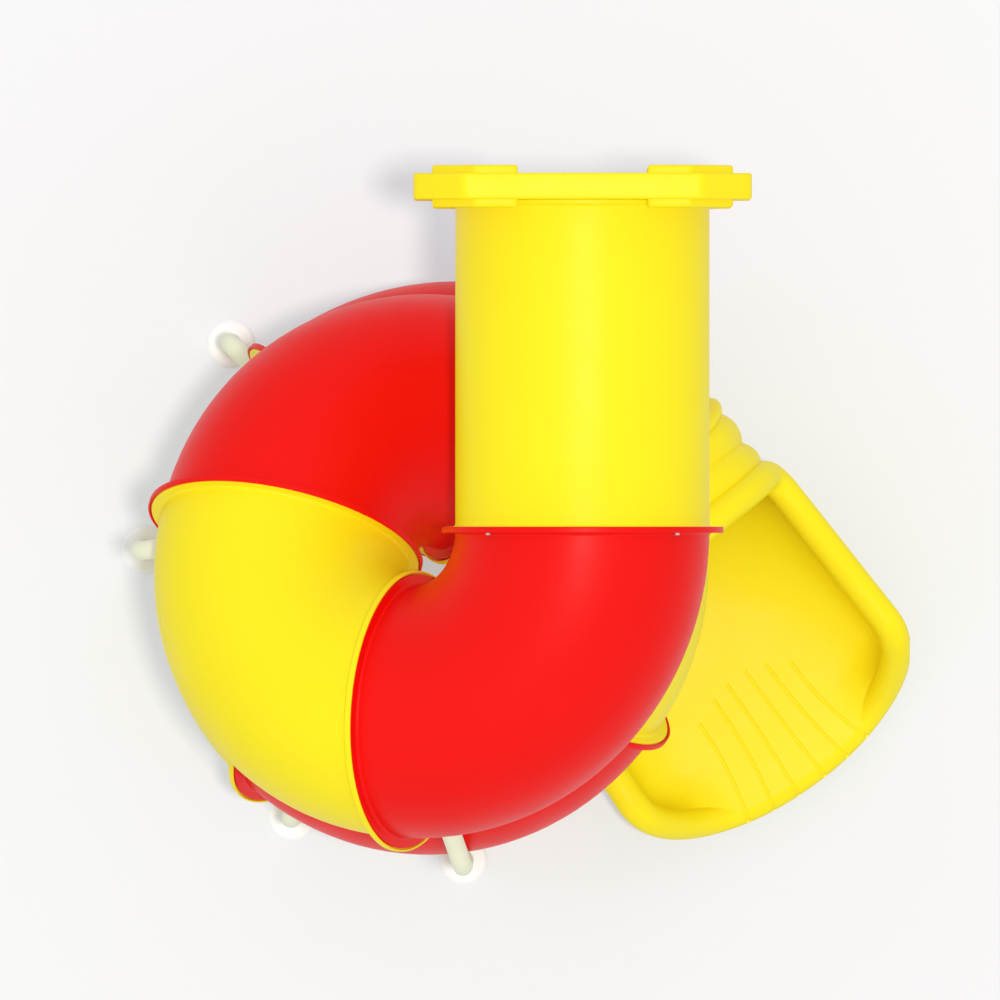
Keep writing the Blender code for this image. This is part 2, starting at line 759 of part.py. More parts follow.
def rim_path(inlet_slope):
    """The middle of the rolled rim: over the hood's end, along the sides and round the mouth."""
    spine = exit_spine(HOOD_LENGTH, inlet_slope) @ along(-HOOD_LENGTH)
    crown = HOOD_CROWN + RIM_ARCH_HALF_WIDTH - HOOD_HALF_WIDTH
    arch = []
    for i in range(9):
        angle = math.radians(20 + 140 * i / 8)
        arch.append(Vector((RIM_ARCH_HALF_WIDTH * math.cos(angle), crown * math.sin(angle), HOOD_LENGTH)))
    side = Vector((rim_half_width(RIM_SIDE_LENGTH), side_height(RIM_SIDE_LENGTH), RIM_SIDE_LENGTH))
    shoulder = Vector((RIM_HALF_WIDTH_AT_HOOD, 0, HOOD_LENGTH))
    turn = rounded_path([arch[0], shoulder, side], RIM_CORNER_RADIUS, 3)[1:]
    flip = Matrix.Diagonal((-1, 1, 1, 1))
    end = []
    sectors = 12
    for sector in range(1, sectors):
        angle = math.pi * sector / sectors
        across, ahead = end_plan(angle, RIM_HALF_WIDTH)
        drop = (RIM_RADIUS - RIM_END_COVER) * end_share(angle)
        end.append(Vector((across, end_height(angle) - drop, ahead)))
    loop = arch[::-1] + turn + end + [flip @ point for point in turn[::-1]]
    return [spine @ point for point in loop]


def collar_mesh():
    """The chute's collar as a ring of its own, to be joined to the hood."""
    inner = BORE_RADIUS + WALL / 2
    profile = [(radius, height) for height, radius in collar_profile()]
    profile = [(inner, 0.0)] + profile + [(inner, COLLAR_FLOOR)]
    return turned_mesh("exit_collar", profile, TUBE_SIDES, True)


def build_chute(frame):
    place = level_frame(frame)
    down = place.to_3x3() @ Vector((0, 0, 1))
    inlet_slope = math.asin(-down.z)
    chute = add_part("exit_chute", chute_mesh(inlet_slope), YELLOW, place)
    shell = chute.modifiers.new("wall", "SOLIDIFY")
    shell.thickness = WALL
    shell.offset = -1
    shell.use_even_offset = True
    rim = bpy.data.objects.new("rim", pipe_curve("rim", rim_path(inlet_slope), RIM_RADIUS, 2, cyclic=True))
    TOOLS.objects.link(rim)
    combine(chute, add_tool("exit_rim", evaluated_mesh(rim), place), "UNION")
    combine(chute, add_tool("exit_collar", collar_mesh(), place), "UNION")
    return chute, place, inlet_slope


def build_leg(chute, place, inlet_slope):
    """A vertical leg under the open trough, its top flange bolted to a moulded pad."""
    spot = place @ exit_spine(LEG_POSITION, inlet_slope) @ Vector((0, -BORE_RADIUS - WALL, 0))
    foot = Vector((spot.x, spot.y, 0))
    upright = Matrix.Translation((spot.x, spot.y, spot.z - LEG_PAD_DEPTH))
    pad = cylinder_mesh("leg_pad", LEG_PAD_RADIUS, 0, LEG_PAD_DEPTH + WALL / 2, DISC_SIDES)
    combine(chute, add_tool("leg_pad", pad, upright), "UNION")
    top = -SEAT_GAP
    low = top - LEG_FLANGE_THICKNESS
    head = foot + Vector((0, 0, upright.translation.z + (top + low) / 2))
    leg = add_part("exit_leg", pipe_mesh([foot, head], PIPE_RADIUS), IVORY)
    hollow_out(leg, "exit_leg_bore", [foot, head])
    profile = [(0, top), (LEG_FLANGE_RADIUS, top), (LEG_FLANGE_RADIUS, low), (0, low)]
    flange = turned_mesh("leg_flange", profile, DISC_SIDES)
    combine(leg, add_tool("leg_flange", flange, upright), "UNION")
    flip = Matrix.Translation((0, 0, low)) @ Matrix.Rotation(math.pi, 4, "X")
    seats = [spot @ flip for spot in bolt_places(BOLTS_PER_LEG, LEG_BOLT_CIRCLE_RADIUS)]
    grip = LEG_FLANGE_THICKNESS + SEAT_GAP + INSERT_DEPTH * 2
    bolt = bolt_mesh("leg_bolt", BOLT_SIZE, grip)
    for number, seat in enumerate(seats, start=1):
        add_part(f"exit_leg_bolt_{number}", bolt, STEEL, upright @ seat)
    hole = BOLT_SIZE / 2 + HOLE_CLEARANCE
    cutter = cylinder_mesh("leg_hole", hole, -grip - HOLE_CLEARANCE, LEG_FLANGE_THICKNESS, BOLT_SIDES)
    holes = add_tool("exit_leg_holes", copies_mesh("exit_leg_holes", cutter, seats), upright)
    combine(chute, holes, "DIFFERENCE")
    combine(leg, holes, "DIFFERENCE")
    build_cover("exit_leg_cover", foot)


def centre_on_ground():
    """Move the whole slide so that the middle of its bounding box stands over the origin."""
    bpy.context.view_layer.update()
    graph = bpy.context.evaluated_depsgraph_get()
    points = []
    for obj in PARTS.objects:
        if obj.type == "MESH":
            made = obj.evaluated_get(graph)
            points += [made.matrix_world @ vertex.co for vertex in made.data.vertices]
    for axis in (0, 1):
        places = [point[axis] for point in points]
        ROOT.location[axis] = -(min(places) + max(places)) / 2


clear_scene()
PARTS = collection("spiral_slide")
TOOLS = collection("cutters")
ROOT = bpy.data.objects.new("slide_root", None)
PARTS.objects.link(ROOT)

# The chain of joints is worked out from the entrance, then set at its height over the ground.
starts, joints = spiral_frames()
exit_place = level_frame(joints[-1])
exit_inlet_slope = math.asin(-(exit_place.to_3x3() @ Vector((0, 0, 1))).z)
lip = exit_spine(RIM_SIDE_LENGTH + RIM_END_LENGTH, exit_inlet_slope) @ Vector((0, -BORE_RADIUS, 0))
rise = Matrix.Translation((0, 0, EXIT_FLOOR_HEIGHT - (exit_place @ lip).z))
starts = [rise @ frame for frame in starts]
joints = [rise @ frame for frame in joints]

panel_face = rise @ spiral_frames()[1][0] @ along(-STRAIGHT_LENGTH)
panel_frame = level_frame(panel_face)
panel = build_panel(panel_frame @ along(-PANEL_THICKNESS / 2))
straight = build_straight(panel_frame)
build_panel_bolts(panel, straight, panel_frame)

pieces = [straight]
for index, ((bend, _), start) in enumerate(zip(ELBOWS, starts)):
    finish = RED if index % 2 == 0 else YELLOW
    elbow = add_part(f"elbow_{index + 1}", elbow_mesh("elbow", math.radians(bend)), finish, start)
    pieces.append(elbow)
chute, chute_place, inlet_slope = build_chute(joints[-1])
pieces.append(chute)

supports = {
    joint: build_support(number, joint, joints[joint], reach)
    for number, (joint, reach, _) in enumerate(SUPPORTS, start=1)
}
for joint, (frame, upper, lower) in enumerate(zip(joints, pieces, pieces[1:])):
    build_joint(joint, frame, upper, lower, supports.get(joint))
build_leg(chute, chute_place, inlet_slope)

centre_on_ground()
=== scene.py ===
"""The looks of the spiral tube slide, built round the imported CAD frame.

Metres, +Z up. The shapes repeat the named dimensions of the CAD source and hang on the straight
tube's box, so each piece lies where its CAD node lies. The chute alone differs in form, by up to
6 cm at a rib's crown: its ribs stand upright, its rim is fuller and its floor is flatter.
"""
import json
import math

import bmesh
import bpy
import numpy as np
from mathutils import Matrix, Vector
from mathutils.bvhtree import BVHTree

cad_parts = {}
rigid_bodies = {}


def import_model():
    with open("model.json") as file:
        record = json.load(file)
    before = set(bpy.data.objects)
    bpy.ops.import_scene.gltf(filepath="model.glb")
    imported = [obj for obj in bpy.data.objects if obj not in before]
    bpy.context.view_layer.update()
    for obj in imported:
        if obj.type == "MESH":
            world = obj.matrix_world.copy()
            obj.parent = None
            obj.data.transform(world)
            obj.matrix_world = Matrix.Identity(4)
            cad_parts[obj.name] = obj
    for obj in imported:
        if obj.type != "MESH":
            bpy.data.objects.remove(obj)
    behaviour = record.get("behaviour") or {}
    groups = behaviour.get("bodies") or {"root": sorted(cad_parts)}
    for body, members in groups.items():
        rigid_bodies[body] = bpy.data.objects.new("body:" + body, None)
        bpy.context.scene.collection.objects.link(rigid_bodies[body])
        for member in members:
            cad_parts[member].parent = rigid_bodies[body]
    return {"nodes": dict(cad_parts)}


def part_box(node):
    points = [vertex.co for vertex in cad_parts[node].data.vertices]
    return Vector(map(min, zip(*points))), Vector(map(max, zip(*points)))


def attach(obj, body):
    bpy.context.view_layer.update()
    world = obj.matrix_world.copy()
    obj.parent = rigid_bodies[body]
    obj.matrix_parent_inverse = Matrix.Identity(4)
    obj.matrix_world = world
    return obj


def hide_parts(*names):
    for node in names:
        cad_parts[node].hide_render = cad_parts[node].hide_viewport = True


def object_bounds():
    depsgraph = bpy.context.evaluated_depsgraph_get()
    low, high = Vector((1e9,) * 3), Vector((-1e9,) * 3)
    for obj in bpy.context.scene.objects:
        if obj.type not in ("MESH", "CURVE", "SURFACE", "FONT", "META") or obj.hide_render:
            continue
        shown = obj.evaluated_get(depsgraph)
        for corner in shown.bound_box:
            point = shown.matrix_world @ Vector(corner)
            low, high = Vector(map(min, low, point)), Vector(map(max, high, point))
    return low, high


for old in list(bpy.data.objects):
    bpy.data.objects.remove(old)
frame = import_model()
cad_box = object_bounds()

# Tube and joints.
BORE_RADIUS = 0.380
WALL = 0.0075
BEND_RADIUS = 0.555
STRAIGHT_LENGTH = 1.005
# Each elbow: its bend, and its roll at the upper joint, in degrees.
ELBOWS = (
    (93.5, 25.4),
    (89.7, 24.0),
    (91.0, 48.1),
    (96.1, 42.1),
    (89.4, 45.9),
    (93.3, 28.4),
    (93.1, 39.8),
)
COLLAR_RADIUS = 0.430
LIP_WALL = 0.0065
SOCKET_CLEARANCE = 0.004
FLANGE_THICKNESS = 0.0095
COLLAR_FLOOR = 0.0095
SEAT_GAP = 0.0003
TUBE_RADIUS = BORE_RADIUS + WALL
SOCKET_RADIUS = COLLAR_RADIUS - LIP_WALL
FLANGE_RADIUS = SOCKET_RADIUS - SOCKET_CLEARANCE
BOLT_CIRCLE_RADIUS = (TUBE_RADIUS + FLANGE_RADIUS) / 2
ROOT_FILLET = 0.009
RIM_ROUND = 0.0022
BORE_EDGE_ROUND = 0.001
# How far past a joint's last fillet, and past the edge of the bore, an elbow's walls begin.
FILLET_MARGIN = 0.002
BORE_MARGIN = 0.004

# Entrance panel.
PANEL_WIDTH = 1.030
PANEL_HEIGHT = 1.030
PANEL_THICKNESS = 0.080
PANEL_CORNER_CUT = 0.150
PANEL_CORNER_RADIUS = 0.045
PANEL_EDGE_ROUND = 0.008
PAD_THICKNESS = 0.129
PAD_INNER_EDGE = 0.197
PAD_OUTER_MARGIN = 0.057
PAD_RING_CLEARANCE = 0.015
PAD_TAPER = 0.010
PAD_CLIP_SHARE = 0.4
PAD_RING_ROUND = 0.010
PAD_SIDE_ROUND = 0.012
PAD_CLIP_ROUND = 0.020
MOUTH_FLARE = 0.025
MOUTH_DEPTH_RATIO = 1.08
PANEL_FLANGE_THICKNESS = 0.014
PANEL_BOLTS = 4
PANEL_BOLT_POCKET_RADIUS = 0.014
PANEL_BOLT_POCKET_DEPTH = 0.009
PANEL_BOLT_HOLE = 0.0055
PANEL_BOLT_HOLE_END = 0.020
DECK_HOLE_RADIUS = 0.007
DECK_HOLE_INSET = 0.140
PANEL_QUARTERS = ((1, 1), (1, -1), (-1, 1), (-1, -1))

# Exit chute.
EXIT_SLOPE = 3.0
HOOD_LENGTH = 0.321
HOOD_NECK_HALF_WIDTH = 0.4275
HOOD_HALF_WIDTH = 0.4355
HOOD_CROWN = 0.400
HOOD_SWELL_LENGTH = 0.024
# The ribs: the notches beside them along the spine, their height, the power that makes their arch
# full, and how low they fade out. Their rings come upright over a length and are upright until
# the place where they begin to turn back.
RIB_NOTCHES = (0.024, 0.083, 0.200, 0.300)
RIB_HEIGHT = 0.023
RIB_POWER = 0.75
FIRST_RIB_POWER = 0.35
RIB_FADE = 0.6
RIB_LEAN_LENGTH = 0.15
RIB_UPRIGHT_END = 0.25
RIM_RADIUS = 0.047
RIM_CENTRE = (0, -0.05, 0.62)
RIM_ARCH_HALF_WIDTH = 0.450
RIM_ARCH_FOOT_ANGLE = 20.0
RIM_HALF_WIDTH_AT_HOOD = 0.458
RIM_HALF_WIDTH = 0.486
RIM_SIDE_LENGTH = 0.913
RIM_END_LENGTH = 0.260
RIM_END_EXPONENT = 2.14
RIM_FLOOR_ANGLE = 64.0
RIM_SIDE_DROP = 0.080
RIM_CORNER_RADIUS = 0.090
RIM_CORNER_LENGTH = 0.12
END_SECTORS = 64
# The trough is a bowl that grows flatter along the sides, from a round one under the hood to the
# floor's exponent. The rim's height round the end follows a rounder bowl of its own.
FLOOR_EXPONENT = 6.5
FLOOR_SQUARING = 1.4
TROUGH_END_EXPONENT = 2.8
# Towards the lip the bowl stops short of its upright edge by this share, so that it runs out flat.
LIP_CUT = 0.2
LIP_CUT_POWER = 5
UPRIGHT_SHARE = 0.99999
LEAST_HALF_WIDTH = 0.02
# After the hood the sheet's edge blends into the rim's line over this length.
EDGE_BLEND_LENGTH = 0.10
# The grooves in the floor: place across and along at the upper end, then at the lip.
GROOVES = (
    (-0.1725, 0.850, -0.2214, 1.182),
    (-0.0929, 0.813, -0.1368, 1.201),
    (-0.0308, 0.800, -0.0498, 1.207),
    (0.0391, 0.797, 0.0507, 1.203),
    (0.1042, 0.818, 0.1399, 1.195),
    (0.1704, 0.858, 0.2226, 1.175),
)
GROOVE_WIDTH = 0.012
GROOVE_DEPTH = 0.0035
GROOVE_SWEEP = 2.1
GROOVE_OVERRUN = 1.16
GROOVE_TAIL = 0.012
GROOVE_RAY_HEIGHT = 0.5
RIM_GROOVE_GROWTH = 0.0004
COLLAR_LAP = 0.0005
COLLAR_TAIL = 0.020
CHUTE_CRISP_ANGLE = 38.0

# Supports.
PIPE_RADIUS = 0.03015
PIPE_BEND_RADIUS = 0.090
SADDLE_WIDTH = 0.080
SADDLE_PLATE = 0.006
SADDLE_REACH = 0.034
SADDLE_EDGE_ROUND = 0.0012
SADDLE_BACK_ROUND = 0.004
SADDLE_FACE_SHARE = 0.97
WELD_SIZE = 0.0040
WELD_RIPPLE = 0.0005
WELD_RIPPLES = 24
WELD_SIDES = 8
COVER_RADIUS = 0.0755
COVER_HEIGHT = 0.012
COVER_CLEARANCE = 0.001
COVER_SLOPE_WIDTH = 0.010
COVER_EDGE_HEIGHT = 0.004
COVER_ROUNDS = (0.0015, 0.008, 0.003, 0.001, 0)
# Each post: its joint, its reach along the arm, and the drop of the arm in degrees.
SUPPORTS = (
    (1, 0.657, 45.0),
    (2, 0.612, 46.0),
    (3, 0.680, 45.0),
    (5, 0.578, 49.0),
    (6, 0.566, 32.0),
)
LEG_POSITION = 0.760
LEG_PAD_RADIUS = 0.075
LEG_PAD_DEPTH = 0.022
LEG_PAD_FLARE = 0.003
LEG_PAD_ROUND = 0.004
LEG_FLANGE_RADIUS = 0.068
LEG_FLANGE_THICKNESS = 0.008
LEG_FLANGE_ROUND = 0.0015

# Meshes: sides of a turned piece, how near points merge, the angle of an edge that stays crisp,
# and how far from its axis a closed profile starts.
SIDES = 96
MERGE_DISTANCE = 0.00002
CRISP_ANGLE = 32.0
AXIS_GAP = 0.0001


# ---------------------------------------------------------------- frames


def along(distance):
    return Matrix.Translation((0, 0, distance))


def roll(angle):
    return Matrix.Rotation(angle, 4, "Z")


def bend_frame(angle):
    """The move along an elbow's middle line, which bends towards X."""
    centre = Matrix.Translation((BEND_RADIUS, 0, 0))
    return centre @ Matrix.Rotation(angle, 4, "Y") @ centre.inverted()


def level_frame(place):
    """The same place and way down, with X level to the left and Y upwards."""
    forward = place.to_3x3() @ Vector((0, 0, 1))
    left = Vector((0, 0, 1)).cross(forward).normalized()
    up = forward.cross(left)
    return Matrix.Translation(place.translation) @ Matrix((left, up, forward)).transposed().to_4x4()


def arm_direction(place, drop):
    """The way from a joint's middle to its post, in the joint's plane."""
    level = level_frame(place).to_3x3()
    angle = math.radians(drop)
    return level @ Vector((math.cos(angle), -math.sin(angle), 0))


def joint_frame(place, drop):
    """A joint's frame with X towards its post."""
    forward = place.to_3x3() @ Vector((0, 0, 1))
    outward = arm_direction(place, drop)
    axes = Matrix((outward, forward.cross(outward), forward)).transposed().to_4x4()
    return Matrix.Translation(place.translation) @ axes


low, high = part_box("straight_tube")
FIRST_JOINT = Vector(((low.x + high.x) / 2, low.y - SEAT_GAP, (low.z + high.z) / 2))
down = Matrix(((-1, 0, 0), (0, 0, -1), (0, -1, 0))).to_4x4()
joints = [Matrix.Translation(FIRST_JOINT) @ down]
starts = []
for bend, turn in ELBOWS:
    starts.append(joints[-1] @ roll(math.radians(turn)))
    joints.append(starts[-1] @ bend_frame(math.radians(bend)))
panel_frame = level_frame(starts[0] @ along(-STRAIGHT_LENGTH))
chute_frame = level_frame(joints[-1])
inlet_slope = math.asin(-(chute_frame.to_3x3() @ Vector((0, 0, 1))).z)


# ---------------------------------------------------------------- meshes


def placed(points, matrix):
    """An array of points moved by a matrix."""
    points = np.asarray(points, float)
    turn = np.array(matrix.to_3x3())
    return points @ turn.T + np.array(matrix.translation)


def smooth(share):
    """A soft step from 0 to 1."""
    share = np.clip(share, 0.0, 1.0)
    return share * share * (3 - 2 * share)


def grid_faces(rings, sides, loop):
    """The faces between rings of points, and from the last ring to the first one if it loops."""
    faces = []
    for i in range(rings if loop else rings - 1):
        here, there = i * sides, (i + 1) % rings * sides
        for j in range(sides):
            m = (j + 1) % sides
            faces.append((here + j, here + m, there + m, there + j))
    return faces


def added(name, data):
    """A new object in the scene for a mesh, a curve, a light or a camera."""
    obj = bpy.data.objects.new(name, data)
    bpy.context.scene.collection.objects.link(obj)
    return obj


def crisp(mesh, angle=CRISP_ANGLE):
    """Smooth shading, with the edges over an angle kept sharp."""
    mesh.shade_smooth()
    mesh.set_sharp_from_angle(angle=math.radians(angle))


def make(name, points, faces):
    """A smooth-shaded object with its faces turned outwards and crisp edges kept sharp."""
    mesh = bpy.data.meshes.new(name)
    mesh.from_pydata([tuple(p) for p in points], [], faces)
    bm = bmesh.new()
    bm.from_mesh(mesh)
    bmesh.ops.remove_doubles(bm, verts=bm.verts, dist=MERGE_DISTANCE)
    bmesh.ops.recalc_face_normals(bm, faces=bm.faces)
    bm.to_mesh(mesh)
    bm.free()
    crisp(mesh)
    return added(name, mesh)


def rounded(points, radii, steps, closed=False):
    """A path, flat or in space, with each inner corner turned into an arc of its own radius."""
    points = [Vector(p) for p in points]
    count = len(points)
    path = []
    for i, corner in enumerate(points):
        radius = radii[i] if hasattr(radii, "__len__") else radii
        if radius <= 0 or (not closed and i in (0, count - 1)):
            path.append(corner)
            continue
        back = points[i - 1] - corner
        ahead = points[(i + 1) % count] - corner
        half = back.angle(ahead) / 2
        back.normalize()
        ahead.normalize()
        centre = corner + (back + ahead).normalized() * radius / math.sin(half)
        first = corner + back * radius / math.tan(half) - centre
        last = corner + ahead * radius / math.tan(half) - centre
        turn = first.angle(last)
        for step in range(steps + 1):
            share = step / steps
            arm = first * math.sin((1 - share) * turn) + last * math.sin(share * turn)
            path.append(centre + arm / math.sin(turn))
    return path


def turned(name, profile, matrix=Matrix(), sides=SIDES, closed=True):
    """A profile of (radius, height) points turned about the matrix's Z."""
    angles = np.arange(sides) * math.tau / sides
    rows = [np.c_[r * np.cos(angles), r * np.sin(angles), np.full(sides, z)] for r, z in profile]
    points = placed(np.concatenate(rows), matrix)
    return make(name, points, grid_faces(len(profile), sides, closed))


def swept(name, path, radius, sides, centre=None):
    """A round bar along a path: open if there is no centre, else a loop round that centre."""
    path = [Vector(p) for p in path]
    count = len(path)
    loop = centre is not None
    points = []
    side = None
    for i, spot in enumerate(path):
        before = path[i - 1] if loop or i else spot
        after = path[(i + 1) % count] if loop or i < count - 1 else spot
        tangent = (after - before).normalized()
        if loop:
            side = centre - spot
        elif side is None:
            side = tangent.orthogonal()
        side = (side - tangent * side.dot(tangent)).normalized()
        other = tangent.cross(side)
        for k in range(sides):
            angle = math.tau * k / sides
            points.append(spot + (side * math.cos(angle) + other * math.sin(angle)) * radius)
    faces = grid_faces(count, sides, loop)
    if not loop:
        faces.append(tuple(range(sides))[::-1])
        faces.append(tuple(range((count - 1) * sides, count * sides)))
    return make(name, points, faces)


def baked(obj):
    """The same object with its modifiers made into its mesh."""
    bpy.context.view_layer.update()
    graph = bpy.context.evaluated_depsgraph_get()
    mesh = bpy.data.meshes.new_from_object(obj.evaluated_get(graph))
    obj.modifiers.clear()
    if obj.type == "MESH":
        obj.data = mesh
        return obj
    made = added(obj.name, mesh)
    bpy.data.objects.remove(obj)
    return made


def joined(name, *objects):
    """One object from several, in world places."""
    bm = bmesh.new()
    for obj in objects:
        start = len(bm.verts)
        bm.from_mesh(obj.data)
        bm.verts.ensure_lookup_table()
        bmesh.ops.transform(bm, matrix=obj.matrix_world, verts=bm.verts[start:])
        bpy.data.objects.remove(obj)
    mesh = bpy.data.meshes.new(name)
    bm.to_mesh(mesh)
    bm.free()
    return added(name, mesh)


def combine(obj, other, operation):
    """Join or cut with another object, which is used up."""
    modifier = obj.modifiers.new(operation.lower(), "BOOLEAN")
    modifier.operation = operation
    modifier.solver = "EXACT"
    modifier.object = other
    baked(obj)
    bpy.data.objects.remove(other)
    crisp(obj.data)


def flat_solid(name, outline, thickness, edge, steps, matrix):
    """A flat outline given a thickness about z = 0, with rounded edges."""
    curve = bpy.data.curves.new(name, "CURVE")
    curve.dimensions = "2D"
    curve.fill_mode = "BOTH"
    curve.extrude = thickness / 2 - edge
    curve.bevel_depth = edge
    curve.bevel_resolution = steps
    curve.offset = -edge
    spline = curve.splines.new("POLY")
    spline.points.add(len(outline) - 1)
    for point, (x, y) in zip(spline.points, outline):
        point.co = (x, y, 0, 1)
    spline.use_cyclic_u = True
    obj = baked(added(name, curve))
    bm = bmesh.new()
    bm.from_mesh(obj.data)
    bmesh.ops.remove_doubles(bm, verts=bm.verts, dist=MERGE_DISTANCE)
    bmesh.ops.transform(bm, matrix=matrix, verts=bm.verts)
    bmesh.ops.recalc_face_normals(bm, faces=bm.faces)
    bm.to_mesh(obj.data)
    bm.free()
    crisp(obj.data)
    return obj


# ---------------------------------------------------------------- tubes


def straight_piece():
    first = SEAT_GAP
    back = SEAT_GAP + PANEL_FLANGE_THICKNESS
    end = STRAIGHT_LENGTH - SEAT_GAP
    root = end - FLANGE_THICKNESS
    corners = [
        (BORE_RADIUS, first), (FLANGE_RADIUS, first), (FLANGE_RADIUS, back), (TUBE_RADIUS, back),
        (TUBE_RADIUS, root), (FLANGE_RADIUS, root), (FLANGE_RADIUS, end), (BORE_RADIUS, end),
    ]
    radii = [BORE_EDGE_ROUND, RIM_ROUND, RIM_ROUND, ROOT_FILLET]
    return turned("tube_straight", rounded(corners, radii + radii[::-1], 4, True), panel_frame)


def bent_ring(radius, height, angles):
    """A circle at a height over the bend's first plane, on walls that follow the bend."""
    level = np.full(len(angles), height)
    if height <= 0:
        return np.c_[radius * np.cos(angles), radius * np.sin(angles), level]
    swing = BEND_RADIUS - radius * np.cos(angles)
    return np.c_[BEND_RADIUS - np.sqrt(swing ** 2 - height ** 2), radius * np.sin(angles), level]


def elbow_piece(number, place, bend):
    """One elbow with its collar, socket, fillets and lower flange."""
    angles = np.arange(SIDES) * math.tau / SIDES
    reach = COLLAR_FLOOR + ROOT_FILLET + FILLET_MARGIN
    upper = rounded(
        [(BORE_RADIUS, BORE_MARGIN), (BORE_RADIUS, 0.0), (SOCKET_RADIUS, 0.0),
         (SOCKET_RADIUS, -FLANGE_THICKNESS), (COLLAR_RADIUS, -FLANGE_THICKNESS),
         (COLLAR_RADIUS, COLLAR_FLOOR), (TUBE_RADIUS, COLLAR_FLOOR), (TUBE_RADIUS, reach)],
        [0, BORE_EDGE_ROUND, BORE_EDGE_ROUND, RIM_ROUND, RIM_ROUND, RIM_ROUND, ROOT_FILLET, 0], 4)
    root = FLANGE_THICKNESS + SEAT_GAP
    root_reach = root + ROOT_FILLET + FILLET_MARGIN
    lower = rounded(
        [(TUBE_RADIUS, root_reach), (TUBE_RADIUS, root), (FLANGE_RADIUS, root),
         (FLANGE_RADIUS, SEAT_GAP), (BORE_RADIUS, SEAT_GAP), (BORE_RADIUS, BORE_MARGIN)],
        [0, ROOT_FILLET, RIM_ROUND, RIM_ROUND, BORE_EDGE_ROUND, 0], 4)
    end = bend_frame(bend)
    rows = [placed(bent_ring(r, z, angles), place) for r, z in upper]

    def wall(radius, first, last, count):
        """The rings between two heights, over the upper plane and over the lower one."""
        swing = BEND_RADIUS - radius * np.cos(angles)
        begin = np.arcsin(first / swing)
        stop = bend - np.arcsin(last / swing)
        made = []
        for i in range(1, count):
            turn = begin + (stop - begin) * i / count
            x, z = BEND_RADIUS - swing * np.cos(turn), swing * np.sin(turn)
            made.append(placed(np.c_[x, radius * np.sin(angles), z], place))
        return made

    rows += wall(TUBE_RADIUS, reach, root_reach, 30)
    mirror = Matrix.Diagonal((1, 1, -1, 1))
    rows += [placed(bent_ring(r, z, angles), place @ end @ mirror) for r, z in lower]
    rows += wall(BORE_RADIUS, BORE_MARGIN, BORE_MARGIN, 18)[::-1]
    points = np.concatenate(rows)
    return make(f"tube_elbow_{number}", points, grid_faces(len(rows), SIDES, True))


# ---------------------------------------------------------------- exit chute


def exit_spine(distance):
    """The frame on the chute's curved middle line, from the inlet to the lip."""
    under_hood = min(distance, HOOD_LENGTH)
    turn = (math.radians(EXIT_SLOPE) - inlet_slope) * under_hood / HOOD_LENGTH
    half = Matrix.Rotation(turn / 2, 4, "X")
    return half @ along(under_hood) @ half @ along(distance - under_hood)


def rib_lean(distance):
    """How far a rib's ring turns back from square to the spine, so that the ribs stand upright."""
    slope = math.radians(EXIT_SLOPE)
    tilt = slope + (inlet_slope - slope) * (1 - distance / HOOD_LENGTH)
    rising = smooth((distance - RIB_NOTCHES[0]) / RIB_LEAN_LENGTH)
    falling = smooth((distance - RIB_UPRIGHT_END) / (HOOD_LENGTH - RIB_UPRIGHT_END))
    return -tilt * rising * (1 - falling)


def rib_rise(distance):
    """The height of a rib over the hood. The first rib rises more steeply from its notch."""
    for start, end in zip(RIB_NOTCHES, RIB_NOTCHES[1:]):
        if start < distance < end:
            first_half = start == RIB_NOTCHES[0] and distance < (start + end) / 2
            power = FIRST_RIB_POWER if first_half else RIB_POWER
            return RIB_HEIGHT * math.sin(math.pi * (distance - start) / (end - start)) ** power
    return 0.0


def hood_ring(distance, angles):
    """One ring of the hood: a wide arch over a round bottom, raised by the rib that it is in."""
    swell = smooth((distance - RIB_NOTCHES[0]) / HOOD_SWELL_LENGTH)
    width = BORE_RADIUS + (HOOD_NECK_HALF_WIDTH - BORE_RADIUS) * swell
    width += (HOOD_HALF_WIDTH - HOOD_NECK_HALF_WIDTH) * distance / HOOD_LENGTH
    above = BORE_RADIUS + (HOOD_CROWN - BORE_RADIUS) * smooth(distance / HOOD_LENGTH)
    height = np.where(np.sin(angles) > 0, above, BORE_RADIUS)
    rise = rib_rise(distance) * smooth((np.sin(angles) + RIB_FADE) / RIB_FADE)
    x, y = (width + rise) * np.cos(angles), (height + rise) * np.sin(angles)
    return np.c_[x, y, np.zeros(len(angles))]


def side_share(distance):
    return (distance - HOOD_LENGTH) / (RIM_SIDE_LENGTH - HOOD_LENGTH)


def rim_half_width(distance):
    spread = RIM_HALF_WIDTH - RIM_HALF_WIDTH_AT_HOOD
    return RIM_HALF_WIDTH_AT_HOOD + spread * side_share(distance)


def side_height(distance):
    return -RIM_SIDE_DROP * smooth(side_share(distance))


def end_plan(angle):
    """The rim's middle round the end as seen from above, from one side at 0 to the other at pi."""
    power = 2 / RIM_END_EXPONENT
    across = RIM_HALF_WIDTH * abs(math.cos(angle)) ** power
    ahead = RIM_END_LENGTH * math.sin(angle) ** power
    return Vector((math.copysign(across, math.cos(angle)), 0, RIM_SIDE_LENGTH + ahead))


def end_share(angle):
    """How far the rim has come down from the sides to the floor."""
    return float(smooth(min(angle, math.pi - angle) / math.radians(RIM_FLOOR_ANGLE)))


def end_height(share):
    return -RIM_SIDE_DROP + (RIM_SIDE_DROP - BORE_RADIUS) * share


def bowl(share, exponent):
    """The height over a floor at a share of its half width: 0 in the middle, 1 at the edge."""
    return 1 - (1 - np.minimum(share, 1.0) ** exponent) ** (1 / exponent)


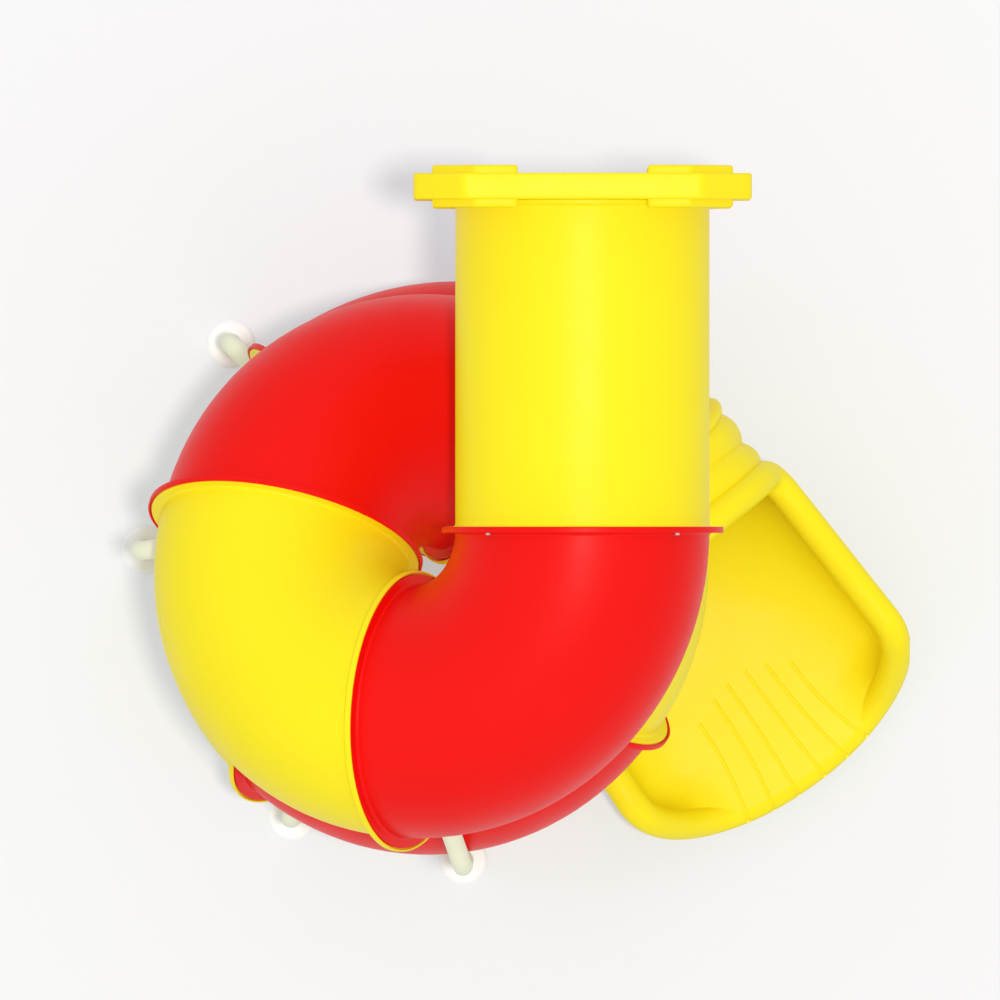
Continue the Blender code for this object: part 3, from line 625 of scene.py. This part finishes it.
def edge_pitch(rise, used, exponent, half_width):
    """The slope of a bowl at its edge, as an angle."""
    if used >= UPRIGHT_SHARE:
        return math.pi / 2
    steep = used ** (exponent - 1) * (1 - used ** exponent) ** (1 / exponent - 1)
    climb = rise * used * steep / float(bowl(used, exponent))
    return math.atan2(climb, max(half_width, LEAST_HALF_WIDTH))


def end_section(angle):
    """The rim's middle at one angle of the rounded end, the trough's edge that is tangent to it,
    and the part of the bowl's curve that the floor uses there. The wall is upright at the sides
    and flat at the lip."""
    centre = end_plan(angle)
    x, z = centre.x / RIM_HALF_WIDTH, (centre.z - RIM_SIDE_LENGTH) / RIM_END_LENGTH
    power = RIM_END_EXPONENT - 1
    sideways = math.copysign(abs(x) ** power, x) / RIM_HALF_WIDTH
    out = Vector((sideways, 0, z ** power / RIM_END_LENGTH)).normalized()
    share = end_share(angle)
    rise = BORE_RADIUS + end_height(share)
    across = abs(centre.x) - RIM_RADIUS * abs(out.x)
    outer = edge_pitch(rise, 1 - LIP_CUT * share, TROUGH_END_EXPONENT, across)
    centre.y = end_height(share) - RIM_RADIUS * math.cos(outer)
    used = 1 - LIP_CUT * share ** LIP_CUT_POWER
    inner = edge_pitch(rise, used, FLOOR_EXPONENT, across)
    edge = centre - out * RIM_RADIUS * math.sin(inner)
    edge.y = centre.y + RIM_RADIUS * math.cos(inner)
    return edge, centre, used


def rim_path(spine):
    """The rim's loop: over the arch, down one side, round the end and up the other side."""
    crown = HOOD_CROWN + RIM_ARCH_HALF_WIDTH - HOOD_HALF_WIDTH
    arch = []
    for i in range(33):
        angle = RIM_ARCH_FOOT_ANGLE + (180 - 2 * RIM_ARCH_FOOT_ANGLE) * i / 32
        angle = math.radians(angle)
        x, y = RIM_ARCH_HALF_WIDTH * math.cos(angle), crown * math.sin(angle)
        arch.append(Vector((x, y, HOOD_LENGTH)))
    shoulder = Vector((RIM_HALF_WIDTH_AT_HOOD, 0, HOOD_LENGTH))
    side = [
        Vector((rim_half_width(d), float(side_height(d)), d))
        for d in np.linspace(HOOD_LENGTH + RIM_CORNER_LENGTH, RIM_SIDE_LENGTH, 16)
    ]
    turn = rounded([arch[0], shoulder, side[0]], RIM_CORNER_RADIUS, 10)[1:-1]
    flip = Matrix.Diagonal((-1, 1, 1, 1))
    end = [end_section(math.pi * i / END_SECTORS)[1] for i in range(1, END_SECTORS)]
    other_side = [flip @ p for p in side[::-1]] + [flip @ p for p in turn[::-1]]
    return [spine @ p for p in arch[::-1] + turn + side + end + other_side]


def chute_sheet(spine):
    """The moulded sheet: hood rings, then trough rows as far as the sides go straight, then a fan
    of lines from the last row's middle to the rim round the end."""
    half = 64
    angles = -math.pi * np.arange(2 * half) / half
    stations = list(np.linspace(COLLAR_FLOOR / 4, RIB_NOTCHES[0], 4))
    for start, end in zip(RIB_NOTCHES, RIB_NOTCHES[1:]):
        spread = 0.5 - 0.5 * np.cos(np.pi * np.arange(1, 19) / 18)
        stations += list(start + (end - start) * spread)
    stations += list(np.linspace(RIB_NOTCHES[-1], HOOD_LENGTH, 4)[1:])
    rows = []
    for d in stations:
        lean = Matrix.Rotation(rib_lean(d), 4, "X")
        rows.append(placed(hood_ring(d, angles), exit_spine(d) @ lean))
    points = [tuple(p) for p in np.concatenate(rows)]
    faces = grid_faces(len(rows), 2 * half, False)
    row = [len(points) - 2 * half + i for i in range(half + 1)]
    shares = np.cos(np.pi * np.arange(half + 1) / half)

    def add(local):
        points.append(tuple(spine @ Vector(local)))
        return len(points) - 1

    steps = 26
    for step in range(1, steps + 1):
        ahead = HOOD_LENGTH + (RIM_SIDE_LENGTH - HOOD_LENGTH) * step / steps
        edge = rim_half_width(ahead) - RIM_RADIUS
        edge += (HOOD_HALF_WIDTH - edge) * (1 - smooth((ahead - HOOD_LENGTH) / EDGE_BLEND_LENGTH))
        exponent = 2 + (FLOOR_EXPONENT - 2) * smooth((step / steps) ** FLOOR_SQUARING)
        rise = BORE_RADIUS + side_height(ahead)
        heights = -BORE_RADIUS + rise * bowl(np.abs(shares), exponent)
        made = [add((edge * s, h, ahead)) for s, h in zip(shares, heights)]
        for i in range(half):
            faces.append((row[i], row[i + 1], made[i + 1], made[i]))
        row = made
    pole = row[half // 2]
    line = row[:half // 2]
    for sector in range(1, END_SECTORS + 1):
        if sector == END_SECTORS:
            made = row[half // 2 + 1:][::-1]
        else:
            edge, _, used = end_section(math.pi * sector / END_SECTORS)
            made = []
            for share in shares[:half // 2]:
                lift = float(bowl(used * share, FLOOR_EXPONENT) / bowl(used, FLOOR_EXPONENT))
                height = -BORE_RADIUS + (BORE_RADIUS + edge.y) * lift
                ahead = RIM_SIDE_LENGTH + (edge.z - RIM_SIDE_LENGTH) * share
                made.append(add((edge.x * share, height, ahead)))
        for i in range(len(line) - 1):
            faces.append((line[i], line[i + 1], made[i + 1], made[i]))
        faces.append((line[-1], pole, made[-1]))
        line = made
    mesh = bpy.data.meshes.new("chute_shell")
    mesh.from_pydata(points, [], faces)
    mesh.shade_smooth()
    obj = added("chute_shell", mesh)
    shell = obj.modifiers.new("wall", "SOLIDIFY")
    shell.thickness = WALL
    shell.offset = -1
    return baked(obj)


def groove_path(spine, surfaces, groove, lift):
    """A line on the floor that fans outwards, turns square to the lip and runs over it, raised
    along the surface's normal."""
    x0, z0, x1, z1 = groove
    down = spine.to_3x3() @ Vector((0, -1, 0))
    path = []
    for share in np.linspace(0, GROOVE_OVERRUN, 44):
        across = x0 + (x1 - x0) * share ** GROOVE_SWEEP
        start = spine @ Vector((across, GROOVE_RAY_HEIGHT, z0 + (z1 - z0) * share))
        hits = [hit for hit in (tree.ray_cast(start, down) for tree in surfaces) if hit[0]]
        if not hits:
            break
        spot, normal = min(hits, key=lambda hit: hit[3])[:2]
        path.append(spot + normal * (lift if normal.dot(down) < 0 else -lift))
    return path + [path[-1] + down * GROOVE_TAIL]


def cut_grooves(spine, shell, rim):
    """Cut every groove into the sheet and the rim. The rim's cutter is a hair larger, so that no
    face of the two pieces falls together."""
    surfaces = []
    for obj in (shell, rim):
        corners = [v.co for v in obj.data.vertices]
        polygons = [tuple(f.vertices) for f in obj.data.polygons]
        surfaces.append(BVHTree.FromPolygons(corners, polygons))
    radius = (GROOVE_WIDTH ** 2 / 4 + GROOVE_DEPTH ** 2) / (2 * GROOVE_DEPTH)
    for groove in GROOVES:
        path = groove_path(spine, surfaces, groove, radius - GROOVE_DEPTH)
        combine(shell, swept("groove", path, radius, 20), "DIFFERENCE")
        combine(rim, swept("groove", path, radius + RIM_GROOVE_GROWTH, 20), "DIFFERENCE")


def chute_collar():
    inside, outside = BORE_RADIUS + WALL / 2, TUBE_RADIUS - COLLAR_LAP
    corners = [
        (inside, 0.0), (SOCKET_RADIUS, 0.0), (SOCKET_RADIUS, -FLANGE_THICKNESS),
        (COLLAR_RADIUS, -FLANGE_THICKNESS), (COLLAR_RADIUS, COLLAR_FLOOR),
        (outside, COLLAR_FLOOR), (outside, COLLAR_TAIL), (inside, COLLAR_TAIL),
    ]
    radii = [0, BORE_EDGE_ROUND, RIM_ROUND, RIM_ROUND, RIM_ROUND, ROOT_FILLET, 0, 0]
    return turned("chute_collar", rounded(corners, radii, 4, True))


def chute_piece():
    """The chute, and the upright frame under it that its leg stands on."""
    spine = exit_spine(HOOD_LENGTH) @ along(-HOOD_LENGTH)
    shell = chute_sheet(spine)
    rim = swept("chute_rim", rim_path(spine), RIM_RADIUS, 48, spine @ Vector(RIM_CENTRE))
    cut_grooves(spine, shell, rim)
    spot = chute_frame @ exit_spine(LEG_POSITION) @ Vector((0, -BORE_RADIUS - WALL, 0))
    upright = Matrix.Translation((spot.x, spot.y, spot.z - LEG_PAD_DEPTH))
    top = (LEG_PAD_RADIUS + LEG_PAD_FLARE, LEG_PAD_DEPTH + WALL / 2)
    profile = rounded([(AXIS_GAP, 0.0), (LEG_PAD_RADIUS, 0.0), top], [0, LEG_PAD_ROUND, 0], 4)
    pad = turned("chute_leg_pad", profile, chute_frame.inverted() @ upright, 48, False)
    whole = joined("chute", shell, rim, chute_collar(), pad)
    crisp(whole.data, CHUTE_CRISP_ANGLE)
    whole.data.transform(chute_frame)
    return whole, upright


# ---------------------------------------------------------------- entrance panel


def pad_outline(half_width, half_height):
    """One corner pad: an arc round the mouth's ring and a clipped outer corner."""
    ring = COLLAR_RADIUS + PAD_RING_CLEARANCE
    low_angle, high_angle = math.asin(PAD_INNER_EDGE / ring), math.acos(PAD_INNER_EDGE / ring)
    outer_x, outer_y = half_width - PAD_OUTER_MARGIN, half_height - PAD_OUTER_MARGIN
    clip = PANEL_CORNER_CUT - PAD_OUTER_MARGIN * PAD_CLIP_SHARE
    arc = [low_angle + (high_angle - low_angle) * i / 16 for i in range(17)]
    inner = [(ring * math.cos(a), ring * math.sin(a)) for a in arc]
    outer = [
        (PAD_INNER_EDGE, outer_y), (outer_x - clip, outer_y),
        (outer_x, outer_y - clip), (outer_x, PAD_INNER_EDGE),
    ]
    radii = [PAD_RING_ROUND] + [0] * 15 + [PAD_RING_ROUND]
    radii += [PAD_SIDE_ROUND, PAD_CLIP_ROUND, PAD_CLIP_ROUND, PAD_SIDE_ROUND]
    return rounded(inner + outer, radii, 4, True)


def mouth_profile():
    """The bore through the panel with its flare on the deck's side."""
    inside = MOUTH_FLARE - PANEL_THICKNESS / 2
    depth = MOUTH_FLARE * MOUTH_DEPTH_RATIO
    flare = [
        (BORE_RADIUS + MOUTH_FLARE * (1 - math.cos(a)), inside - depth * math.sin(a))
        for a in np.linspace(0, math.pi / 2, 9)
    ]
    start = [(AXIS_GAP, PANEL_THICKNESS), (BORE_RADIUS, PANEL_THICKNESS)]
    return start + flare + [(flare[-1][0], -PANEL_THICKNESS), (AXIS_GAP, -PANEL_THICKNESS)]


def panel_holes(place, half_width, half_height):
    """The deck holes through the pads and the bolt holes with their pockets, as one cutter."""
    holes = []
    depth = PAD_THICKNESS
    shape = [
        (AXIS_GAP, depth), (DECK_HOLE_RADIUS, depth),
        (DECK_HOLE_RADIUS, -depth), (AXIS_GAP, -depth),
    ]
    across, up = half_width - DECK_HOLE_INSET, half_height - DECK_HOLE_INSET
    for x, y in PANEL_QUARTERS:
        spot = Matrix.Translation((x * across, y * up, 0))
        holes.append(turned("hole", shape, place @ spot, 32))
    pocket = PANEL_BOLT_POCKET_DEPTH - PANEL_THICKNESS
    start = -PANEL_THICKNESS * 1.5
    shape = [
        (AXIS_GAP, start), (PANEL_BOLT_POCKET_RADIUS, start), (PANEL_BOLT_POCKET_RADIUS, pocket),
        (PANEL_BOLT_HOLE, pocket), (PANEL_BOLT_HOLE, PANEL_BOLT_HOLE_END),
        (AXIS_GAP, PANEL_BOLT_HOLE_END),
    ]
    outwards = Matrix.Translation((BOLT_CIRCLE_RADIUS, 0, 0))
    for i in range(PANEL_BOLTS):
        spot = roll(math.tau * (i + 0.5) / PANEL_BOLTS) @ outwards
        holes.append(turned("hole", shape, panel_frame @ spot, 32))
    return joined("holes", *holes)


def panel_piece():
    place = panel_frame @ along(-PANEL_THICKNESS / 2)
    half_width, half_height, cut = PANEL_WIDTH / 2, PANEL_HEIGHT / 2, PANEL_CORNER_CUT
    corners = [
        (half_width, half_height - cut), (half_width - cut, half_height),
        (cut - half_width, half_height), (-half_width, half_height - cut),
        (-half_width, cut - half_height), (cut - half_width, -half_height),
        (half_width - cut, -half_height), (half_width, cut - half_height),
    ]
    outline = rounded(corners, PANEL_CORNER_RADIUS, 8, True)
    panel = flat_solid("entrance_plate", outline, PANEL_THICKNESS, PANEL_EDGE_ROUND, 4, place)
    outline = pad_outline(half_width, half_height)
    for x, y in PANEL_QUARTERS:
        quarter = place @ Matrix.Diagonal((x, y, 1, 1))
        combine(panel, flat_solid("pad", outline, PAD_THICKNESS, PAD_TAPER, 3, quarter), "UNION")
    combine(panel, turned("mouth", mouth_profile(), place), "DIFFERENCE")
    combine(panel, panel_holes(place, half_width, half_height), "DIFFERENCE")
    return panel


# ---------------------------------------------------------------- supports


def saddle_piece(place):
    """The channel that grips the joined flanges, curved round their rim, with rounded edges."""
    low_face = -FLANGE_THICKNESS - SEAT_GAP * 2
    high_face = COLLAR_FLOOR + SEAT_GAP
    rim = COLLAR_RADIUS + SEAT_GAP
    back, tip = rim + SADDLE_PLATE, rim - SADDLE_REACH
    bottom, top = low_face - SADDLE_PLATE, high_face + SADDLE_PLATE
    edge, bend = SADDLE_EDGE_ROUND, SADDLE_BACK_ROUND
    outline = rounded(
        [(tip, bottom), (back, bottom), (back, top), (tip, top),
         (tip, high_face), (rim, high_face), (rim, low_face), (tip, low_face)],
        [edge, bend, bend, edge, edge, 0, 0, edge], 3, True)
    reach = SADDLE_WIDTH / 2 / COLLAR_RADIUS
    face = reach * SADDLE_FACE_SHARE
    turns = [-reach] + list(np.linspace(-face, face, 9)) + [reach]
    middle = sum(outline, Vector((0, 0))) / len(outline)
    points = []
    for turn in turns:
        inset = edge if abs(turn) == reach else 0.0
        for p in outline:
            r, z = p + (middle - p).normalized() * inset
            points.append((r * math.cos(turn), r * math.sin(turn), z))
    count = len(outline)
    faces = grid_faces(len(turns), count, False)
    faces.append(tuple(range(count))[::-1])
    faces.append(tuple(range((len(turns) - 1) * count, len(turns) * count)))
    return make("saddle", placed(points, place), faces)


def weld_bead(place, radius):
    """A rippled fillet weld where a pipe ends on a plate at z = 0."""
    points = []
    for i in range(SIDES):
        angle = math.tau * i / SIDES
        size = WELD_SIZE + WELD_RIPPLE * math.cos(angle * WELD_RIPPLES)
        for k in range(WELD_SIDES):
            turn = math.tau * k / WELD_SIDES
            r = radius + size * math.cos(turn)
            points.append((r * math.cos(angle), r * math.sin(angle), size * math.sin(turn)))
    return make("weld", placed(points, place), grid_faces(SIDES, WELD_SIDES, True))


def facing(origin, direction):
    return Matrix.Translation(origin) @ direction.to_track_quat("Z", "Y").to_matrix().to_4x4()


def support_piece(number, place, reach, drop):
    """A bent post with its saddle and weld, and the point where it stands."""
    direction = arm_direction(place, drop)
    corner = place.translation + direction * reach
    tip = place.translation + direction * (COLLAR_RADIUS + SEAT_GAP + SADDLE_PLATE / 2)
    foot = Vector((corner.x, corner.y, 0))
    pipe = swept("pipe", rounded([foot, corner, tip], PIPE_BEND_RADIUS, 14), PIPE_RADIUS, 40)
    plate = place.translation + direction * (COLLAR_RADIUS + SEAT_GAP + SADDLE_PLATE)
    bead = weld_bead(facing(plate, direction), PIPE_RADIUS)
    return joined(f"post_{number}", pipe, saddle_piece(joint_frame(place, drop)), bead), foot


def cover_piece(name, foot):
    bore = PIPE_RADIUS + COVER_CLEARANCE
    corners = [
        (bore, COVER_HEIGHT), (COVER_RADIUS - COVER_SLOPE_WIDTH, COVER_HEIGHT),
        (COVER_RADIUS, COVER_EDGE_HEIGHT), (COVER_RADIUS, 0.0), (bore, 0.0),
    ]
    return turned(name, rounded(corners, COVER_ROUNDS, 4, True), Matrix.Translation(foot), 64)


def leg_piece(upright):
    """The chute's leg with its flange and weld, and the point where it stands."""
    top, low_face = -SEAT_GAP, -SEAT_GAP - LEG_FLANGE_THICKNESS
    foot = Vector((upright.translation.x, upright.translation.y, 0))
    head = foot + Vector((0, 0, upright.translation.z + (top + low_face) / 2))
    pipe = swept("pipe", [foot, foot.lerp(head, 0.5), head], PIPE_RADIUS, 40)
    corners = [
        (AXIS_GAP, top), (LEG_FLANGE_RADIUS, top),
        (LEG_FLANGE_RADIUS, low_face), (AXIS_GAP, low_face),
    ]
    profile = rounded(corners, [0, LEG_FLANGE_ROUND, LEG_FLANGE_ROUND, 0], 3)
    flange = turned("flange", profile, upright, 64)
    bead = weld_bead(upright @ Matrix.Translation((0, 0, low_face)), PIPE_RADIUS)
    return joined("chute_leg", pipe, flange, bead), foot


# ---------------------------------------------------------------- materials


def new_material(name, roughness, specular, metallic=0.0):
    mat = bpy.data.materials.new(name)
    mat.use_nodes = True
    tree = mat.node_tree
    shader = tree.nodes["Principled BSDF"]
    shader.inputs["Metallic"].default_value = metallic
    shader.inputs["Roughness"].default_value = roughness
    shader.inputs["Specular IOR Level"].default_value = specular
    return mat, tree, shader


def object_coordinates(tree):
    node = tree.nodes.get("Texture Coordinate") or tree.nodes.new("ShaderNodeTexCoord")
    return node.outputs["Object"]


def noise(tree, scale, detail, rough=0.5):
    node = tree.nodes.new("ShaderNodeTexNoise")
    node.inputs["Scale"].default_value = scale
    node.inputs["Detail"].default_value = detail
    node.inputs["Roughness"].default_value = rough
    tree.links.new(object_coordinates(tree), node.inputs["Vector"])
    return node


def tint(tree, shader, source, stops):
    """A texture turned into the base colour by a ramp of colours."""
    node = tree.nodes.new("ShaderNodeValToRGB")
    while len(node.color_ramp.elements) < len(stops):
        node.color_ramp.elements.new(0.5)
    for element, (place, colour) in zip(node.color_ramp.elements, stops):
        element.position = place
        element.color = (*colour, 1.0)
    tree.links.new(source, node.inputs["Fac"])
    tree.links.new(node.outputs["Color"], shader.inputs["Base Color"])


def gloss(tree, shader, source, least, most):
    """A texture's usual range turned into a range of roughness."""
    node = tree.nodes.new("ShaderNodeMapRange")
    node.inputs["From Min"].default_value = 0.3
    node.inputs["From Max"].default_value = 0.7
    node.inputs["To Min"].default_value = least
    node.inputs["To Max"].default_value = most
    tree.links.new(source, node.inputs["Value"])
    tree.links.new(node.outputs["Result"], shader.inputs["Roughness"])


def bump(tree, shader, source, strength, distance, before=None):
    node = tree.nodes.new("ShaderNodeBump")
    node.inputs["Strength"].default_value = strength
    node.inputs["Distance"].default_value = distance
    tree.links.new(source, node.inputs["Height"])
    if before:
        tree.links.new(before.outputs["Normal"], node.inputs["Normal"])
    tree.links.new(node.outputs["Normal"], shader.inputs["Normal"])
    return node


def moulded_plastic(name, colour, deep, roughness, specular):
    """Rotationally moulded polyethylene: even colour, soft gloss, a fine orange peel."""
    mat, tree, shader = new_material(name, roughness, specular)
    cloud = noise(tree, scale=2.3, detail=3.0)
    tint(tree, shader, cloud.outputs["Fac"], [(0.30, deep), (0.62, colour)])
    patch = noise(tree, scale=7.0, detail=4.0, rough=0.6)
    gloss(tree, shader, patch.outputs["Fac"], roughness - 0.025, roughness + 0.035)
    wave = noise(tree, scale=5.0, detail=2.0, rough=0.4)
    first = bump(tree, shader, wave.outputs["Fac"], strength=0.10, distance=0.004)
    peel = noise(tree, scale=520.0, detail=2.0, rough=0.5)
    bump(tree, shader, peel.outputs["Fac"], strength=0.06, distance=0.0006, before=first)
    return mat


def powder_coat(name, colour, deep):
    """Painted steel: even colour, a fine peel and a little uneven gloss."""
    mat, tree, shader = new_material(name, roughness=0.38, specular=0.30)
    cloud = noise(tree, scale=14.0, detail=3.0)
    tint(tree, shader, cloud.outputs["Fac"], [(0.30, deep), (0.60, colour)])
    peel = noise(tree, scale=700.0, detail=3.0, rough=0.6)
    gloss(tree, shader, peel.outputs["Fac"], 0.33, 0.44)
    bump(tree, shader, peel.outputs["Fac"], strength=0.16, distance=0.0004)
    return mat


def zinc(name):
    """Zinc-plated bolts with a small spangle."""
    mat, tree, shader = new_material(name, roughness=0.34, specular=0.5, metallic=1.0)
    spangle = tree.nodes.new("ShaderNodeTexVoronoi")
    spangle.inputs["Scale"].default_value = 420.0
    tree.links.new(object_coordinates(tree), spangle.inputs["Vector"])
    stops = [(0.0, (0.66, 0.67, 0.68)), (0.8, (0.52, 0.53, 0.55))]
    tint(tree, shader, spangle.outputs["Distance"], stops)
    haze = noise(tree, scale=160.0, detail=4.0, rough=0.6)
    gloss(tree, shader, haze.outputs["Fac"], 0.28, 0.44)
    bump(tree, shader, haze.outputs["Fac"], strength=0.12, distance=0.0003)
    return mat


yellow = moulded_plastic(
    "yellow_polyethylene", colour=(0.98, 0.825, 0.010), deep=(0.97, 0.805, 0.008),
    roughness=0.42, specular=0.16)
red = moulded_plastic(
    "red_polyethylene", colour=(0.87, 0.005, 0.003), deep=(0.85, 0.004, 0.002),
    roughness=0.40, specular=0.13)
white = moulded_plastic(
    "white_cover_plastic", colour=(0.95, 0.955, 0.96), deep=(0.94, 0.945, 0.95),
    roughness=0.45, specular=0.20)
ivory = powder_coat("ivory_powder_coat", colour=(0.84, 0.87, 0.66), deep=(0.82, 0.85, 0.63))
steel = zinc("zinc_plated_steel")


def dress(obj, mat, slot, *nodes):
    """Give a piece its material, put it on the root body and hide the CAD nodes that it replaces;
    the slot is not used. A rounded edge can pass the CAD's box by a hair, so every point is kept
    inside it."""
    obj.data.materials.clear()
    obj.data.materials.append(mat)
    for vertex in obj.data.vertices:
        spans = zip(vertex.co, *cad_box)
        vertex.co = [min(max(value, least), most) for value, least, most in spans]
    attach(obj, "root")
    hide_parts(*nodes)


dress(panel_piece(), yellow, "yellow_plastic", "entrance_panel")
dress(straight_piece(), yellow, "yellow_plastic", "straight_tube")
for number, ((bend, _), start) in enumerate(zip(ELBOWS, starts), start=1):
    elbow = elbow_piece(number, start, math.radians(bend))
    finish, slot_name = (red, "red_plastic") if number % 2 else (yellow, "yellow_plastic")
    dress(elbow, finish, slot_name, f"elbow_{number}")
chute, upright = chute_piece()
dress(chute, yellow, "yellow_plastic", "exit_chute")
for number, (joint, reach, drop) in enumerate(SUPPORTS, start=1):
    post, foot = support_piece(number, joints[joint], reach, drop)
    dress(post, ivory, "ivory_paint", f"support_{number}")
    cover = cover_piece(f"ground_cover_{number}", foot)
    dress(cover, white, "white_plastic", f"post_cover_{number}")
leg, foot = leg_piece(upright)
dress(leg, ivory, "ivory_paint", "exit_leg")
dress(cover_piece("ground_cover_leg", foot), white, "white_plastic", "exit_leg_cover")
for name, node in frame["nodes"].items():
    if "bolt" in name:
        node.data.materials.clear()
        node.data.materials.append(steel)


# ---------------------------------------------------------------- stage, light, camera

WORLD_LIGHT = 0.78
SUN_STRENGTH = 1.20
SUN_SOFTNESS = 2.0
SUN_DIRECTION = (0.036, -0.010, 1.0)
# The floor: the colour that lights the slide from below, and the colour and glow that are seen.
FLOOR_BOUNCE = (0.55, 0.55, 0.55, 1)
FLOOR_SHOWN = (0.66, 0.61, 0.57, 1)
FLOOR_GLOW = (0.203, 0.270, 0.325, 1)
FLOOR_HALF_SIZE = 60.0
FLOOR_DROP = 0.0005
# The camera looks straight down. The photo is square, and the first joint is at this pixel of
# it. One pixel is PIXEL_SIZE metres at the height of CAMERA_LEVEL.
LENS = 1700.0
SENSOR_WIDTH = 36.0
CLIP_START = 0.1
CLIP_END = 3000.0
CAMERA_LEVEL = 1.8
PIXEL_SIZE = 0.003075
PHOTO_WIDTH = 1000
JOINT_PIXEL = (581.7, 529.5)


def seen_directly(tree):
    """1 for rays from the camera, in mirrors and through glass, 0 for rays that light surfaces."""
    path = tree.nodes.new("ShaderNodeLightPath")
    last = path.outputs["Is Camera Ray"]
    for name in ("Is Glossy Ray", "Is Transmission Ray"):
        join = tree.nodes.new("ShaderNodeMath")
        join.operation = "MAXIMUM"
        tree.links.new(last, join.inputs[0])
        tree.links.new(path.outputs[name], join.inputs[1])
        last = join.outputs[0]
    return last


def build_floor():
    mesh = bpy.data.meshes.new("floor")
    size = FLOOR_HALF_SIZE
    corners = [(-size, -size, 0), (size, -size, 0), (size, size, 0), (-size, size, 0)]
    mesh.from_pydata(corners, [], [(0, 1, 2, 3)])
    floor = added("floor", mesh)
    floor.location.z = -FLOOR_DROP
    mat, tree, shader = new_material("pale_floor", roughness=0.9, specular=0.0)
    seen = seen_directly(tree)
    mixes = (
        ("Base Color", FLOOR_BOUNCE, FLOOR_SHOWN),
        ("Emission Color", (0, 0, 0, 1), FLOOR_GLOW),
    )
    for socket, unseen, shown in mixes:
        mix = tree.nodes.new("ShaderNodeMix")
        mix.data_type = "RGBA"
        mix.inputs["A"].default_value = unseen
        mix.inputs["B"].default_value = shown
        tree.links.new(seen, mix.inputs["Factor"])
        tree.links.new(mix.outputs["Result"], shader.inputs[socket])
    shader.inputs["Emission Strength"].default_value = 1.0
    mesh.materials.append(mat)


def build_light():
    world = bpy.data.worlds.new("studio")
    bpy.context.scene.world = world
    world.use_nodes = True
    tree = world.node_tree
    back = tree.nodes["Background"]
    back.inputs["Color"].default_value = (WORLD_LIGHT, WORLD_LIGHT, WORLD_LIGHT, 1)
    back.inputs["Strength"].default_value = 1.0
    light = bpy.data.lights.new("sun", "SUN")
    light.energy = SUN_STRENGTH
    light.angle = math.radians(SUN_SOFTNESS)
    sun = added("sun", light)
    sun.rotation_mode = "QUATERNION"
    sun.rotation_quaternion = Vector(SUN_DIRECTION).to_track_quat("Z", "Y")


def build_camera():
    data = bpy.data.cameras.new("camera")
    data.sensor_width = SENSOR_WIDTH
    data.lens = LENS
    data.clip_start = CLIP_START
    data.clip_end = CLIP_END
    camera = added("camera", data)
    camera.location = (
        FIRST_JOINT.x + (PHOTO_WIDTH / 2 - JOINT_PIXEL[0]) * PIXEL_SIZE,
        FIRST_JOINT.y + (JOINT_PIXEL[1] - PHOTO_WIDTH / 2) * PIXEL_SIZE,
        CAMERA_LEVEL + PIXEL_SIZE * PHOTO_WIDTH * LENS / SENSOR_WIDTH,
    )
    camera.rotation_euler = (0, 0, 0)
    bpy.context.scene.camera = camera


build_floor()
build_light()
build_camera()
bpy.context.scene.view_settings.view_transform = "Standard"

bpy.context.view_layer.update()
